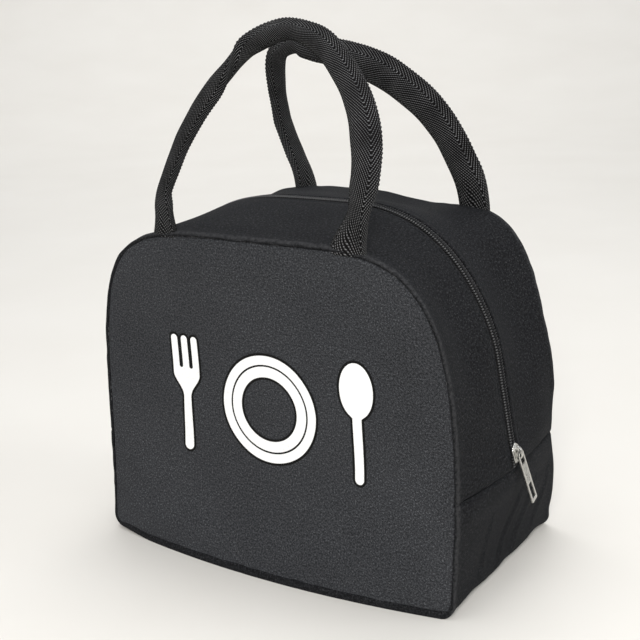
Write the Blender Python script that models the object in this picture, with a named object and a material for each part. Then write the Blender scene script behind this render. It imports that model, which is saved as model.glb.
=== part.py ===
"""Insulated cooler bag: a soft, loaf-shaped lunch bag with a zip over its arched top and two handles.

Frame: +X to the right along the front, +Y to the back, +Z up, in metres.
Origin: the middle of the base, on the surface that the bag stands on.

The walls have three layers, fabric outside, foam inside it and foil towards the food. The front and the
rear half above the fold swing outwards when the zip is open, so each layer is cut at the fold, and its
gusset strips are cut along a slanted crease that runs from the fold up to the zip.
"""

import math
from typing import NamedTuple

import bpy
import numpy as np
from mathutils import Matrix, Vector

# Whole bag
BASE_HALF_WIDTH = 0.109
BASE_CORNER_RADIUS = 0.012
SEAM_Z = 0.058
FOLD_Z = 0.052
WAIST_Z = 0.089
WAIST_HALF_DEPTH = 0.0542
WAIST_CURVE = 0.68
REAR_LEAN = 0.020
BOW = 0.0107
BOW_TOP_Z = 0.070

# Layers of the wall, from the outside in, and the gaps between loose layers and at cut edges
LAYER_GAP = 0.0007
GAP = 0.0003
FOAM_PANEL_INSET = 0.0032
FOIL_PANEL_INSET = 0.0074
INNER_STRIP_GAP = 0.0013
FABRIC = 0.0008
FOAM = 0.0030
FOIL = 0.0005

# Slanted crease between the fixed foot of a gusset and its moving arch
CREASE_LOW_Z = 0.062
CREASE_HIGH_Z = 0.118
CREASE_GAP = 0.0006

# Zip
ZIP_GAP_HALF = 0.0004
COIL_WIDTH = 0.0026
COIL_HEIGHT = 0.0010
COIL_PROUD = 0.0002
LIP_HALF = 0.0045
TAPE_HALF = 0.0150
TAPE_DEPTH = 0.0013
TAPE = 0.0006

# Slider and pull tab
SLIDER_Z = 0.0665
SLIDER_LENGTH = 0.0105
SLIDER_WIDTH = 0.0078
SLIDER_TOP_PLATE = 0.0010
SLIDER_BOTTOM_PLATE = 0.0007
SLIDER_TAIL_SHARE = 0.62
SLIDER_WAIST_SHARE = 0.80
SLIDER_NOSE_SHARE = 0.65
SLIDER_NOSE_STEPS = 8
SLIDER_WEB = 0.0004
SLIDER_WEB_REACH = 0.0042
BAIL_WIDTH = 0.0016
BAIL_LEG_WIDTH = 0.0014
BAIL_HALF_SPAN = 0.0030
BAIL_BAR = 0.0008
PULL_AXIS_OUT = 0.0033
PULL_LENGTH = 0.0305
PULL_WIDTH = 0.0060
PULL_THICKNESS = 0.0010
PULL_RIM = 0.0011
PULL_CHAMFER = 0.0010
PULL_SLOT_TOP = 0.0005
PULL_SLOT_END = 0.0070
PULL_WINDOW_START = 0.0190
PULL_END_RIM = 0.0019
PULL_TILT = math.radians(16.5)

# Handles: routes are (sideways, along the handle) from the middle of the seam that holds it
STRAP_WIDTH = 0.0150
STRAP_THICKNESS = 0.0090
STRAP_END_WIDTH = 0.0190
STRAP_END_THICKNESS = 0.0040
STRAP_FLARE = 0.020
STRAP_SIDES = 10
STRAP_RINGS = 26
LEAN_SETTLE = 0.015
FRONT_LEAN = math.radians(25)
REAR_HANDLE_LEAN = math.radians(-8)
FRONT_ROUTE = [
    (-0.0545, 0.000), (-0.0570, 0.018), (-0.0550, 0.036), (-0.0495, 0.058), (-0.0385, 0.083),
    (-0.0210, 0.102), (0.0000, 0.109), (0.0200, 0.102), (0.0385, 0.085), (0.0520, 0.064),
    (0.0590, 0.042), (0.0605, 0.020), (0.0575, 0.000),
]
REAR_ROUTE = [
    (-0.0510, 0.000), (-0.0535, 0.020), (-0.0580, 0.040), (-0.0600, 0.060), (-0.0565, 0.078),
    (-0.0440, 0.088), (-0.0250, 0.086), (-0.0050, 0.081), (0.0150, 0.073), (0.0320, 0.060),
    (0.0460, 0.043), (0.0555, 0.022), (0.0600, 0.000),
]

# Printed motif on the front: a fork, a plate and a spoon
PRINT_LOW_Z = 0.0575
PRINT_HIGH_Z = 0.1215
PRINT_THICKNESS = 0.0003
PRINT_STANDOFF = 0.0008
FORK_X = -0.051
SPOON_X = 0.056
PLATE_X = 0.0025
PLATE_Z = 0.0885
PLATE_OUTER = 0.0290
PLATE_INNER = 0.0175
PLATE_STEPS = 24
TINE_WIDTH = 0.0036
TINE_PITCH = 0.0062
FORK_ROWS = 8
FORK_BRIDGE_ROW = 4
SPOON_ROWS = 14
SPOON_STEM_WIDTH = 0.0064
SPOON_BOWL_WIDTH = 0.0190
SPOON_BOWL_LENGTH = 0.0260
SPOON_TIP_SHARE = 0.2

# Mesh density. All layers share these lines along their strips, so that their facets stay parallel
DEPTH_LINES = (0.140, 0.286, 0.520, 0.740)
SHOULDER_Z = 0.122
SHOULDER_STEPS = 9
CORNER_STEPS = 3
SIDE_STEPS = 3
BOTTOM_STEPS = 6
PANEL_COLUMNS = 6
ARCH_SAMPLES = 160
SIDE_SAMPLES = 40


class Arch(NamedTuple):
    """One outline of the bag above the side seam, seen from the front."""

    half_width: float
    lean: float
    shoulder_z: float
    top_z: float
    side_power: float
    top_power: float


FRONT_ARCH = Arch(0.1096, 0.00, 0.017, 0.1780, 5.15, 3.98)
ZIP_ARCH = Arch(0.1155, 0.16, 0.116, 0.1890, 3.60, 1.75)
REAR_ARCH = Arch(0.1105, 0.00, 0.020, 0.1830, 4.80, 3.30)

MATERIALS = {
    "oxford_cloth": ((0.036, 0.036, 0.039), 0.85, 0.0),
    "gusset_cloth": ((0.026, 0.026, 0.029), 0.85, 0.0),
    "epe_foam": ((0.80, 0.80, 0.78), 0.70, 0.0),
    "foil_lining": ((0.78, 0.79, 0.80), 0.28, 0.9),
    "webbing": ((0.018, 0.018, 0.020), 0.80, 0.0),
    "zip_tape_cloth": ((0.016, 0.016, 0.018), 0.75, 0.0),
    "zip_coil_nylon": ((0.014, 0.014, 0.015), 0.40, 0.0),
    "nickel": ((0.62, 0.61, 0.58), 0.28, 1.0),
    "white_print": ((0.86, 0.86, 0.86), 0.55, 0.0),
}


# Shape of the bag ------------------------------------------------------------------------------------


def mix(a, b, share):
    return a + (b - a) * share


def smooth(share):
    share = min(1.0, max(0.0, share))
    return share * share * (3 - 2 * share)


def arch_at(v):
    """The outline at v, which runs from -1 at the front seam through 0 at the zip to 1 at the rear seam."""
    seam = FRONT_ARCH if v < 0 else REAR_ARCH
    return Arch(*(mix(at_seam, at_zip, 1 - v * v) for at_seam, at_zip in zip(seam, ZIP_ARCH)))


def arch_half_width(arch, z):
    side = arch.half_width - arch.lean * (z - SEAM_Z)
    rise = max(0.0, (z - arch.shoulder_z) / (arch.top_z - arch.shoulder_z))
    return side * max(0.0, 1 - rise**arch.top_power) ** (1 / arch.side_power)


def side_half_width(arch, z):
    """Half width of the lower band, which bulges from the base out to the side seam."""
    share = (z - BASE_CORNER_RADIUS) / (SEAM_Z - BASE_CORNER_RADIUS)
    return mix(BASE_HALF_WIDTH, arch_half_width(arch, SEAM_Z), smooth(share))


def fine_outline(v):
    """Many (x, z) points up the right half, from the end of the flat base to the middle of the top."""
    arch = arch_at(v)
    points = []
    for i in range(SIDE_SAMPLES):
        turn = math.pi / 2 * i / SIDE_SAMPLES
        x = BASE_HALF_WIDTH - BASE_CORNER_RADIUS * (1 - math.sin(turn))
        points.append((x, BASE_CORNER_RADIUS * (1 - math.cos(turn))))
    for i in range(SIDE_SAMPLES):
        z = mix(BASE_CORNER_RADIUS, SEAM_Z, i / SIDE_SAMPLES)
        points.append((side_half_width(arch, z), z))
    for i in range(ARCH_SAMPLES + 1):
        z = arch.top_z - (arch.top_z - SEAM_Z) * (1 - i / ARCH_SAMPLES) ** 4
        points.append((arch_half_width(arch, z), z))
    return np.array(points)


def climb(v, low_z, high_z, steps):
    """Evenly spaced (x, z) points up the right half of the outline, from one height to another."""
    points = fine_outline(v)
    high_z = min(high_z, points[-1, 1])
    ends = [[np.interp(z, points[:, 1], points[:, 0]), z] for z in (low_z, high_z)]
    if high_z == points[-1, 1]:
        ends[1][0] = 0.0
    inside = points[(points[:, 1] > low_z + 1e-6) & (points[:, 1] < high_z - 1e-9)]
    path = np.vstack([ends[:1], inside, ends[1:]])
    along = np.concatenate([[0], np.cumsum(np.linalg.norm(np.diff(path, axis=0), axis=1))])
    even = np.linspace(0, along[-1], steps + 1)
    return np.stack([np.interp(even, along, path[:, k]) for k in (0, 1)], axis=1)


def climb_over(v, low_z, steps):
    """Up to the shoulder in even steps, then over it to the middle of the top."""
    side = climb(v, low_z, SHOULDER_Z, steps)
    return np.vstack([side, climb(v, SHOULDER_Z, math.inf, SHOULDER_STEPS)[1:]])


def climb_from_base(v, high_z, steps):
    """Round the corner at the base, then up the side in even steps."""
    turns = [math.pi / 2 * i / CORNER_STEPS for i in range(CORNER_STEPS)]
    corner = [
        (
            BASE_HALF_WIDTH - BASE_CORNER_RADIUS * (1 - math.sin(turn)),
            BASE_CORNER_RADIUS * (1 - math.cos(turn)),
        )
        for turn in turns
    ]
    return np.vstack([corner, climb(v, BASE_CORNER_RADIUS, high_z, steps)])


def wall_y(v, x, z):
    """Depth of the outer surface. Its waist is narrow, its base bows out and its rear leans back."""
    bow = BOW * (1 - (x / BASE_HALF_WIDTH) ** 2) * max(0.0, 1 - z / BOW_TOP_Z) ** 2
    half = WAIST_HALF_DEPTH + WAIST_CURVE * (z - WAIST_Z) ** 2 + max(0.0, bow)
    return v * (half + (REAR_LEAN * z if v > 0 else 0.0))


def crease_z(v):
    return mix(CREASE_HIGH_Z, CREASE_LOW_Z, abs(v))


def share_of_depth(distance):
    """The v of a line that lies this far from the zip's middle, or from the middle of the depth."""
    return distance / WAIST_HALF_DEPTH


def behind_panel(depth):
    """The v, without its sign, of a strip's edge that stops behind panel layers this deep."""
    return 1 - depth / WAIST_HALF_DEPTH


# Solids from grids -----------------------------------------------------------------------------------


def outward_normals(grid):
    """Unit normals of a grid whose columns cross its rows with the outside on their cross product's side."""
    normals = np.cross(np.gradient(grid, axis=1), np.gradient(grid, axis=0))
    return normals / np.linalg.norm(normals, axis=2, keepdims=True)


def slab(name, outer, inner, material, present=None, closed_rows=False):
    """A closed solid between two matching grids of points. Cells that aren't present are left open."""
    rows, columns = outer.shape[:2]
    row_cells = rows if closed_rows else rows - 1
    if present is None:
        present = np.ones((row_cells, columns - 1), bool)
    inner_start = rows * columns
    faces = []

    def corner(i, j):
        return (i % rows) * columns + j

    def is_present(i, j):
        if closed_rows:
            i %= row_cells
        return 0 <= i < row_cells and 0 <= j < columns - 1 and present[i, j]

    for i in range(row_cells):
        for j in range(columns - 1):
            if not present[i, j]:
                continue
            quad = [corner(i, j), corner(i, j + 1), corner(i + 1, j + 1), corner(i + 1, j)]
            a, b, c, d = quad
            outer_faces = [(a, b, c), (a, c, d)]
            faces += outer_faces
            faces += [tuple(inner_start + k for k in reversed(face)) for face in outer_faces]
            beside = [(i - 1, j), (i, j + 1), (i + 1, j), (i, j - 1)]
            for side, neighbour in enumerate(beside):
                if is_present(*neighbour):
                    continue
                a, b = quad[side], quad[(side + 1) % 4]
                faces.append([b, a, a + inner_start, b + inner_start])

    points = np.concatenate([outer.reshape(-1, 3), inner.reshape(-1, 3)])
    used = sorted({k for face in faces for k in face})
    renumber = {k: i for i, k in enumerate(used)}
    faces = [[renumber[k] for k in face] for face in faces]
    return add_mesh(name, points[used].tolist(), faces, material)


def add_mesh(name, points, faces, material):
    mesh = bpy.data.meshes.new(name)
    mesh.from_pydata(points, [], faces)
    mesh.validate()
    mesh.materials.append(material_named(material))
    mesh.shade_smooth()
    mesh.set_sharp_from_angle(angle=math.radians(40))
    obj = bpy.data.objects.new(name, mesh)
    bpy.context.scene.collection.objects.link(obj)
    return obj


def material_named(name):
    material = bpy.data.materials.get(name)
    if material:
        return material
    colour, roughness, metallic = MATERIALS[name]
    material = bpy.data.materials.new(name)
    material.use_nodes = True
    shader = material.node_tree.nodes["Principled BSDF"]
    shader.inputs["Base Color"].default_value = (*colour, 1)
    shader.inputs["Roughness"].default_value = roughness
    shader.inputs["Metallic"].default_value = metallic
    return material


def layer_slab(name, grid, depth, thickness, material, present=None):
    normals = outward_normals(grid)
    outer = grid - normals * depth
    inner = grid - normals * (depth + thickness)
    return slab(name, outer, inner, material, present)


def strip_grid(v_values, path_at):
    """Rows along the strip and columns over its depth, from the (x, z) path at each v."""
    columns = []
    for v in v_values:
        columns.append([(x, wall_y(v, x, z), z) for x, z in path_at(v)])
    return np.array(columns).transpose(1, 0, 2)


def mirrored(path):
    return [(-x, z) for x, z in path]


def arch_path(v):
    """Over the top, from the crease on the right to the crease on the left."""
    right = climb_over(v, crease_z(v) + CREASE_GAP / 2, 2)
    return list(right) + mirrored(right[-2::-1])


def foot_path(v):
    return climb(v, SEAM_Z + GAP / 2, crease_z(v) - CREASE_GAP / 2, 2)


def band_path(v, side_top_z, upper_steps):
    """Down the left side, across the base and up the right side."""
    right = climb_from_base(v, SEAM_Z - GAP / 2, SIDE_STEPS)
    if upper_steps:
        upper = climb(v, SEAM_Z - GAP / 2, side_top_z, upper_steps)
        right = np.vstack([right, upper[1:]])
    flat_end = right[0, 0]
    floor = [(mix(-flat_end, flat_end, i / BOTTOM_STEPS), 0.0) for i in range(1, BOTTOM_STEPS)]
    return mirrored(right[::-1]) + floor + list(right)


def panel_grid(side, upper, inset):
    """The front (side -1) or rear (side 1) wall above or below the fold, its edge drawn in by the inset."""
    cut_z = FOLD_Z + (GAP / 2 if upper else -GAP / 2)
    path = climb_over(side, cut_z, SIDE_STEPS + 1) if upper else climb_from_base(side, cut_z, SIDE_STEPS)
    along = np.gradient(path, axis=0)
    along /= np.linalg.norm(along, axis=1, keepdims=True)
    path = path + inset * np.stack([-along[:, 1], along[:, 0]], axis=1)
    if upper:
        path[0, 1] = cut_z
        path[-1] = path[-2, 0] / 3, path[-1, 1]
    else:
        path[0, 1] = inset + GAP
        path[-1, 1] = cut_z
    rows = []
    for x_edge, z in path:
        across = np.linspace(side, -side, PANEL_COLUMNS + 1) * x_edge
        rows.append([(x, wall_y(side, x, z), z) for x in across])
    return np.array(rows)


def panel(name, side, upper, depth, thickness, inset, material):
    grid = panel_grid(side, upper, inset)
    inwards = np.array([0, -side, 0])
    return slab(name, grid + inwards * depth, grid + inwards * (depth + thickness), material)


# Sub-parts -------------------------------------------------------------------------------------------


def build_panels(prefix, depth, thickness, inset, material):
    """The front and rear walls of one layer, each cut at the fold."""
    found = {}
    for side, place in ((-1, "front"), (1, "rear")):
        name = f"{prefix}_{place}_panel"
        found[place] = panel(name, side, True, depth, thickness, inset, material)
        panel(f"{name}_lower", side, False, depth, thickness, inset, material)
    return found


def depth_lines(low, high):
    """The v values of a strip's lines, from one edge to the other."""
    return [low] + [v for v in DEPTH_LINES if low < v < high] + [high]


def build_gussets(prefix, depth, thickness, seam_edge, zip_edge, material):
    """The moving arch of one layer, front and rear."""
    found = {}
    for side, place in ((-1, "front"), (1, "rear")):
        v_values = sorted(side * v for v in depth_lines(zip_edge, seam_edge))
        grid = strip_grid(v_values, arch_path)
        found[place] = layer_slab(f"{prefix}_{place}_gusset", grid, depth, thickness, material)
    return found


def build_feet(prefix, depth, thickness, seam_edge, zip_edge, material):
    """The fixed feet of the gussets, between the side seam and the crease, at both sides of the bag."""
    found = []
    for side, place in ((-1, "front"), (1, "rear")):
        v_values = sorted(side * v for v in depth_lines(zip_edge, seam_edge))
        for hand, hand_name in ((1, "right"), (-1, "left")):
            grid = strip_grid(v_values, foot_path) * np.array([hand, 1, 1])
            if hand < 0:
                grid = grid[::-1]
            name = f"{prefix}_{place}_{hand_name}_end"
            found.append(layer_slab(name, grid, depth, thickness, material))
    return found


def build_band(name, depth, thickness, seam_edge, slit, material):
    """The strip under the bag and up both sides. An inner layer also fills the sides up to the crease."""
    upper_steps = 2 if slit else 0
    rear_half = depth_lines(0.0, seam_edge)
    v_values = [-v for v in rear_half[:0:-1]] + rear_half

    def path_at(v):
        return band_path(v, crease_z(v) - CREASE_GAP / 2, upper_steps)

    grid = strip_grid(v_values, path_at)
    rows, columns = grid.shape[0] - 1, grid.shape[1] - 1
    present = np.ones((rows, columns), bool)
    if slit:
        middles = [(a + b) / 2 for a, b in zip(v_values, v_values[1:])]
        in_slit = np.abs(middles) < slit
        present[:upper_steps, in_slit] = False
        present[rows - upper_steps :, in_slit] = False
    return layer_slab(name, grid, depth, thickness, material, present)


def zip_frame():
    """The zip's straight lower stretch on the right side: X outwards, Y backwards, Z up along the zip."""
    x = arch_half_width(ZIP_ARCH, SLIDER_Z)
    tilt = math.atan(ZIP_ARCH.lean)
    return Matrix.Translation((x, 0, SLIDER_Z)) @ Matrix.Rotation(-tilt, 4, "Y")


def box_points(low, high):
    return [
        Vector((x, y, z))
        for x in (low[0], high[0])
        for y in (low[1], high[1])
        for z in (low[2], high[2])
    ]


BOX_FACES = [(0, 1, 3, 2), (4, 6, 7, 5), (0, 4, 5, 1), (2, 3, 7, 6), (0, 2, 6, 4), (1, 5, 7, 3)]


def box(name, low, high, place, material):
    points = [place @ point for point in box_points(low, high)]
    return add_mesh(name, [tuple(p) for p in points], BOX_FACES, material)


def outline_plate(name, outline, x_low, x_high, place, material):
    """A plate whose outline is a list of (y, z) points, anticlockwise seen from +X."""
    count = len(outline)
    points = [place @ Vector((x, y, z)) for x in (x_high, x_low) for y, z in outline]
    faces = [list(range(count)), list(range(2 * count - 1, count - 1, -1))]
    for i in range(count):
        j = (i + 1) % count
        faces.append([j, i, i + count, j + count])
    return add_mesh(name, [tuple(p) for p in points], faces, material)


def combine(target, helper, operation):
    helper.hide_render = True
    helper.display_type = "WIRE"
    modifier = target.modifiers.new(f"{operation.lower()}_{helper.name}", "BOOLEAN")
    modifier.operation = operation
    modifier.solver = "EXACT"
    modifier.object = helper


def slider_outline():
    """A shield: a rounded nose at the top, wide shoulders and a narrower tail."""
    half_length = SLIDER_LENGTH / 2
    half_width = SLIDER_WIDTH / 2
    tail = half_width * SLIDER_TAIL_SHARE
    waist = half_width * SLIDER_WAIST_SHARE
    nose = half_length * SLIDER_NOSE_SHARE
    points = [(-tail, -half_length), (tail, -half_length), (waist, -half_length / 5)]
    for i in range(SLIDER_NOSE_STEPS + 1):
        turn = math.pi * i / SLIDER_NOSE_STEPS
        points.append((half_width * math.cos(turn), half_length - nose * (1 - math.sin(turn))))
    points.append((-waist, -half_length / 5))
    return points


def build_slider():
    """Two plates joined by a web between the tapes, and the bail that the pull tab hangs on."""
    place = zip_frame()
    top_low = COIL_PROUD + GAP
    bottom_high = -(TAPE_DEPTH + TAPE + GAP)
    bottom_low = bottom_high - SLIDER_BOTTOM_PLATE
    slider = outline_plate(
        "zip_slider", slider_outline(), top_low, top_low + SLIDER_TOP_PLATE, place, "nickel"
    )
    helpers = [
        outline_plate("slider_bottom_plate", slider_outline(), bottom_low, bottom_high, place, "nickel")
    ]

    web_half = SLIDER_WEB / 2
    bail_half = BAIL_WIDTH / 2
    leg_half = BAIL_LEG_WIDTH / 2
    inside_top_plate = top_low + SLIDER_TOP_PLATE / 2
    inside_bottom_plate = bottom_low + SLIDER_BOTTOM_PLATE / 2
    bail_top = PULL_AXIS_OUT + PULL_THICKNESS / 2 + 2 * GAP + BAIL_BAR
    span = BAIL_HALF_SPAN
    leg_top = span - BAIL_BAR
    for name, low, high in (
        ("slider_web", (inside_bottom_plate, -web_half, 0), (inside_top_plate, web_half, SLIDER_WEB_REACH)),
        ("slider_bail_bar", (bail_top - BAIL_BAR, -bail_half, -span), (bail_top, bail_half, span)),
        ("slider_bail_low_leg", (inside_top_plate, -leg_half, -span), (bail_top, leg_half, -leg_top)),
        ("slider_bail_high_leg", (inside_top_plate, -leg_half, leg_top), (bail_top, leg_half, span)),
    ):
        helpers.append(box(name, low, high, place, "nickel"))
    for helper in helpers:
        combine(slider, helper, "UNION")
    return slider


def pull_frame():
    """The pull tab's own frame: its origin is on the hinge axis, and the tab hangs along -Z."""
    axis_point = zip_frame() @ Matrix.Translation((PULL_AXIS_OUT, 0, 0))
    return axis_point @ Matrix.Rotation(PULL_TILT, 4, "X")


def build_pull():
    """A slim bar with a slot that the bail passes through and a longer window at its end."""
    place = pull_frame()
    half_width = PULL_WIDTH / 2
    half_thickness = PULL_THICKNESS / 2
    top = half_thickness
    end = top - PULL_LENGTH
    outline = [
        (-half_width, end),
        (half_width, end),
        (half_width, top - PULL_CHAMFER),
        (half_width - PULL_CHAMFER, top),
        (PULL_CHAMFER - half_width, top),
        (-half_width, top - PULL_CHAMFER),
    ]
    pull = outline_plate("zip_pull", outline, -half_thickness, half_thickness, place, "nickel")
    slot_half = half_width - PULL_RIM
    for name, high, low in (
        ("pull_slot", -PULL_SLOT_TOP, -PULL_SLOT_END),
        ("pull_window", -PULL_WINDOW_START, end + PULL_END_RIM),
    ):
        corners = (-PULL_THICKNESS, -slot_half, low), (PULL_THICKNESS, slot_half, high)
        combine(pull, box(name, *corners, place, "nickel"), "DIFFERENCE")
    return pull


def smooth_route(route, rings):
    """Points along a smooth curve through the route, with its end directions upright."""
    knots = np.array(route)
    along = np.concatenate([[0], np.cumsum(np.linalg.norm(np.diff(knots, axis=0), axis=1))])
    slopes = np.gradient(knots, along, axis=0)
    slopes[0] = (0, 1)
    slopes[-1] = (0, -1)
    found = []
    for length in np.linspace(0, along[-1], rings):
        k = min(np.searchsorted(along, length, side="right") - 1, len(along) - 2)
        span = along[k + 1] - along[k]
        t = (length - along[k]) / span
        found.append(
            (2 * t**3 - 3 * t**2 + 1) * knots[k]
            + (t**3 - 2 * t**2 + t) * span * slopes[k]
            + (3 * t**2 - 2 * t**3) * knots[k + 1]
            + (t**3 - t**2) * span * slopes[k + 1]
        )
    return np.array(found), along[-1]


def handle_base(side):
    """(y, z) of the line where a handle leaves its seam."""
    arch = FRONT_ARCH if side < 0 else REAR_ARCH
    x = FRONT_ROUTE[-1][0]
    inner_edge = 1 - STRAP_END_THICKNESS / WAIST_HALF_DEPTH
    z_seam = climb_top_z(side * inner_edge, x - STRAP_END_WIDTH / 2)
    y = wall_y(side, x, arch.top_z) - side * STRAP_END_THICKNESS / 2
    return y, z_seam + GAP


def climb_top_z(v, x):
    """Height of the outer surface at v above the point x."""
    points = fine_outline(v)
    top = points[points[:, 1] > SEAM_Z][::-1]
    return float(np.interp(x, top[:, 0], top[:, 1]))


def build_handle(name, side, route, lean):
    """A webbing strap folded into a fat tube, flat and wide at both ends where the seam holds it."""
    y_base, z_base = handle_base(side)
    line, length = smooth_route(route, STRAP_RINGS)
    centres = []
    for x, height in line:
        reach = height * height / (height + LEAN_SETTLE)
        centres.append((x, y_base + math.sin(lean) * reach, z_base + height * math.cos(lean)))
    centres = np.array(centres)
    tangents = np.gradient(centres, axis=0)
    tangents[0] = (0, 0, 1)
    tangents[-1] = (0, 0, -1)
    points = []
    for i, (centre, tangent) in enumerate(zip(centres, tangents)):
        tangent = tangent / np.linalg.norm(tangent)
        across = np.cross(tangent, (0, 1, 0))
        across /= np.linalg.norm(across)
        through = np.cross(across, tangent)
        from_end = min(i, STRAP_RINGS - 1 - i) * length / (STRAP_RINGS - 1)
        round_share = smooth(from_end / STRAP_FLARE)
        half_width = mix(STRAP_END_WIDTH, STRAP_WIDTH, round_share) / 2
        half_thickness = mix(STRAP_END_THICKNESS, STRAP_THICKNESS, round_share) / 2
        for k in range(STRAP_SIDES):
            turn = 2 * math.pi * k / STRAP_SIDES
            offset = across * half_width * math.cos(turn) + through * half_thickness * math.sin(turn)
            points.append(tuple(centre + offset))
    faces = [list(range(STRAP_SIDES))]
    last = (STRAP_RINGS - 1) * STRAP_SIDES
    faces.append([last + k for k in reversed(range(STRAP_SIDES))])
    for i in range(STRAP_RINGS - 1):
        for k in range(STRAP_SIDES):
            a = i * STRAP_SIDES + k
            b = i * STRAP_SIDES + (k + 1) % STRAP_SIDES
            faces.append([b, a, a + STRAP_SIDES, b + STRAP_SIDES])
    return add_mesh(name, points, faces, "webbing")


def film(name, rows, present=None, closed_rows=False):
    """A printed film on the front wall, from rows of (x, z) points."""
    outer = np.array([[(x, wall_y(-1, x, z) - PRINT_STANDOFF, z) for x, z in row] for row in rows])
    inner = outer + np.array([0, PRINT_THICKNESS, 0])
    return slab(name, outer, inner, "white_print", present, closed_rows)


def build_fork():
    """Three tines on a straight stem. The middle tine and the stem are one column."""
    edges = []
    for tine in (-1, 0, 1):
        middle = FORK_X + tine * TINE_PITCH
        edges += [middle - TINE_WIDTH / 2, middle + TINE_WIDTH / 2]
    z_values = np.linspace(PRINT_LOW_Z, PRINT_HIGH_Z, FORK_ROWS + 1)
    present = np.zeros((FORK_ROWS, len(edges) - 1), bool)
    present[:, 2] = True
    present[FORK_BRIDGE_ROW:, [0, 4]] = True
    present[FORK_BRIDGE_ROW, :] = True
    return film("print_fork", [[(x, z) for x in edges] for z in z_values], present)


def build_plate():
    """A ring."""
    rows = []
    for i in range(PLATE_STEPS):
        turn = 2 * math.pi * i / PLATE_STEPS
        ring = []
        for radius in (PLATE_OUTER, (PLATE_INNER + PLATE_OUTER) / 2, PLATE_INNER):
            ring.append((PLATE_X + radius * math.sin(turn), PLATE_Z + radius * math.cos(turn)))
        rows.append(ring)
    return film("print_plate", rows, closed_rows=True)


def build_spoon():
    """An oval bowl on a straight stem."""
    rows = []
    for z in np.linspace(PRINT_LOW_Z, PRINT_HIGH_Z, SPOON_ROWS + 1):
        half = SPOON_STEM_WIDTH / 2
        up_bowl = 1 - (PRINT_HIGH_Z - z) / SPOON_BOWL_LENGTH
        if up_bowl > 0:
            oval = math.sqrt(max(0, 1 - (2 * up_bowl - 1) ** 2))
            half = max(half * (1 - up_bowl), SPOON_BOWL_WIDTH / 2 * max(oval, SPOON_TIP_SHARE))
        rows.append([(SPOON_X - half, z), (SPOON_X, z), (SPOON_X + half, z)])
    return film("print_spoon", rows)


# Assembly --------------------------------------------------------------------------------------------


def pivot(name, location):
    empty = bpy.data.objects.new(name, None)
    empty.empty_display_size = 0.02
    empty.location = location
    bpy.context.scene.collection.objects.link(empty)
    return empty


def attach(children, parent):
    bpy.context.view_layer.update()
    for child in children:
        child.parent = parent
        child.matrix_parent_inverse = parent.matrix_world.inverted()


def fold_y(side):
    """Depth of the line that a half folds about: the outermost point of the wall at the fold's height."""
    return wall_y(side, 0, FOLD_Z)


def main():
    for obj in list(bpy.data.objects):
        bpy.data.objects.remove(obj)

    foam_depth = FABRIC + LAYER_GAP
    foil_depth = foam_depth + FOAM + LAYER_GAP
    zip_lip = share_of_depth(LIP_HALF)
    slit = DEPTH_LINES[1]

    cloth = build_panels("fabric", 0, FABRIC, 0, "oxford_cloth")
    foam = build_panels("foam", foam_depth, FOAM, FOAM_PANEL_INSET, "epe_foam")
    foil = build_panels("foil", foil_depth, FOIL, FOIL_PANEL_INSET, "foil_lining")

    cloth_edge = behind_panel(FABRIC + GAP)
    foam_edge = behind_panel(foam_depth + FOAM + INNER_STRIP_GAP)
    foil_edge = behind_panel(foil_depth + FOIL + INNER_STRIP_GAP)
    cloth_gusset = build_gussets("fabric", 0, FABRIC, cloth_edge, zip_lip, "gusset_cloth")
    foam_gusset = build_gussets("foam", foam_depth, FOAM, foam_edge, slit, "epe_foam")
    foil_gusset = build_gussets("foil", foil_depth, FOIL, foil_edge, slit, "foil_lining")
    build_feet("fabric_gusset", 0, FABRIC, cloth_edge, zip_lip, "gusset_cloth")
    build_band("fabric_band", 0, FABRIC, cloth_edge, 0, "gusset_cloth")
    build_band("foam_band", foam_depth, FOAM, foam_edge, slit, "epe_foam")
    build_band("foil_band", foil_depth, FOIL, foil_edge, slit, "foil_lining")

    tape_edges = (share_of_depth(TAPE_HALF), share_of_depth(ZIP_GAP_HALF))
    tape = build_gussets("zip_tape", TAPE_DEPTH, TAPE, *tape_edges, "zip_tape_cloth")
    build_feet("zip_tape", TAPE_DEPTH, TAPE, *tape_edges, "zip_tape_cloth")
    coil_edges = (share_of_depth(ZIP_GAP_HALF + COIL_WIDTH), share_of_depth(ZIP_GAP_HALF))
    coil = build_gussets("zip_coil", -COIL_PROUD, COIL_HEIGHT, *coil_edges, "zip_coil_nylon")
    build_feet("zip_coil", -COIL_PROUD, COIL_HEIGHT, *coil_edges, "zip_coil_nylon")
    for place in ("front", "rear"):
        tape[place].name = f"zip_tape_{place}"
        coil[place].name = f"zip_coil_{place}"

    slider = build_slider()
    pull = build_pull()
    front_handle = build_handle("front_handle", -1, FRONT_ROUTE, FRONT_LEAN)
    rear_handle = build_handle("rear_handle", 1, REAR_ROUTE, REAR_HANDLE_LEAN)
    prints = [build_fork(), build_plate(), build_spoon()]

    for side, place, handle in ((-1, "front", front_handle), (1, "rear", rear_handle)):
        half = pivot(f"{place}_fold_axis", (0, fold_y(side), FOLD_Z))
        layers = (cloth, foam, foil, cloth_gusset, foam_gusset, foil_gusset, tape, coil)
        attach([layer[place] for layer in layers], half)
        y_base, z_base = handle_base(side)
        handle_axis = pivot(
            f"{place}_handle_axis", (0, y_base + side * STRAP_END_THICKNESS / 2, z_base)
        )
        attach([handle], handle_axis)
        attach([handle_axis], half)
        if place == "front":
            attach(prints, half)

    slider_axis = pivot("zip_slide_axis", zip_frame().translation)
    attach([slider], slider_axis)
    pull_axis = pivot("zip_pull_axis", pull_frame().translation)
    attach([pull], pull_axis)
    attach([pull_axis], slider_axis)


main()
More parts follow.
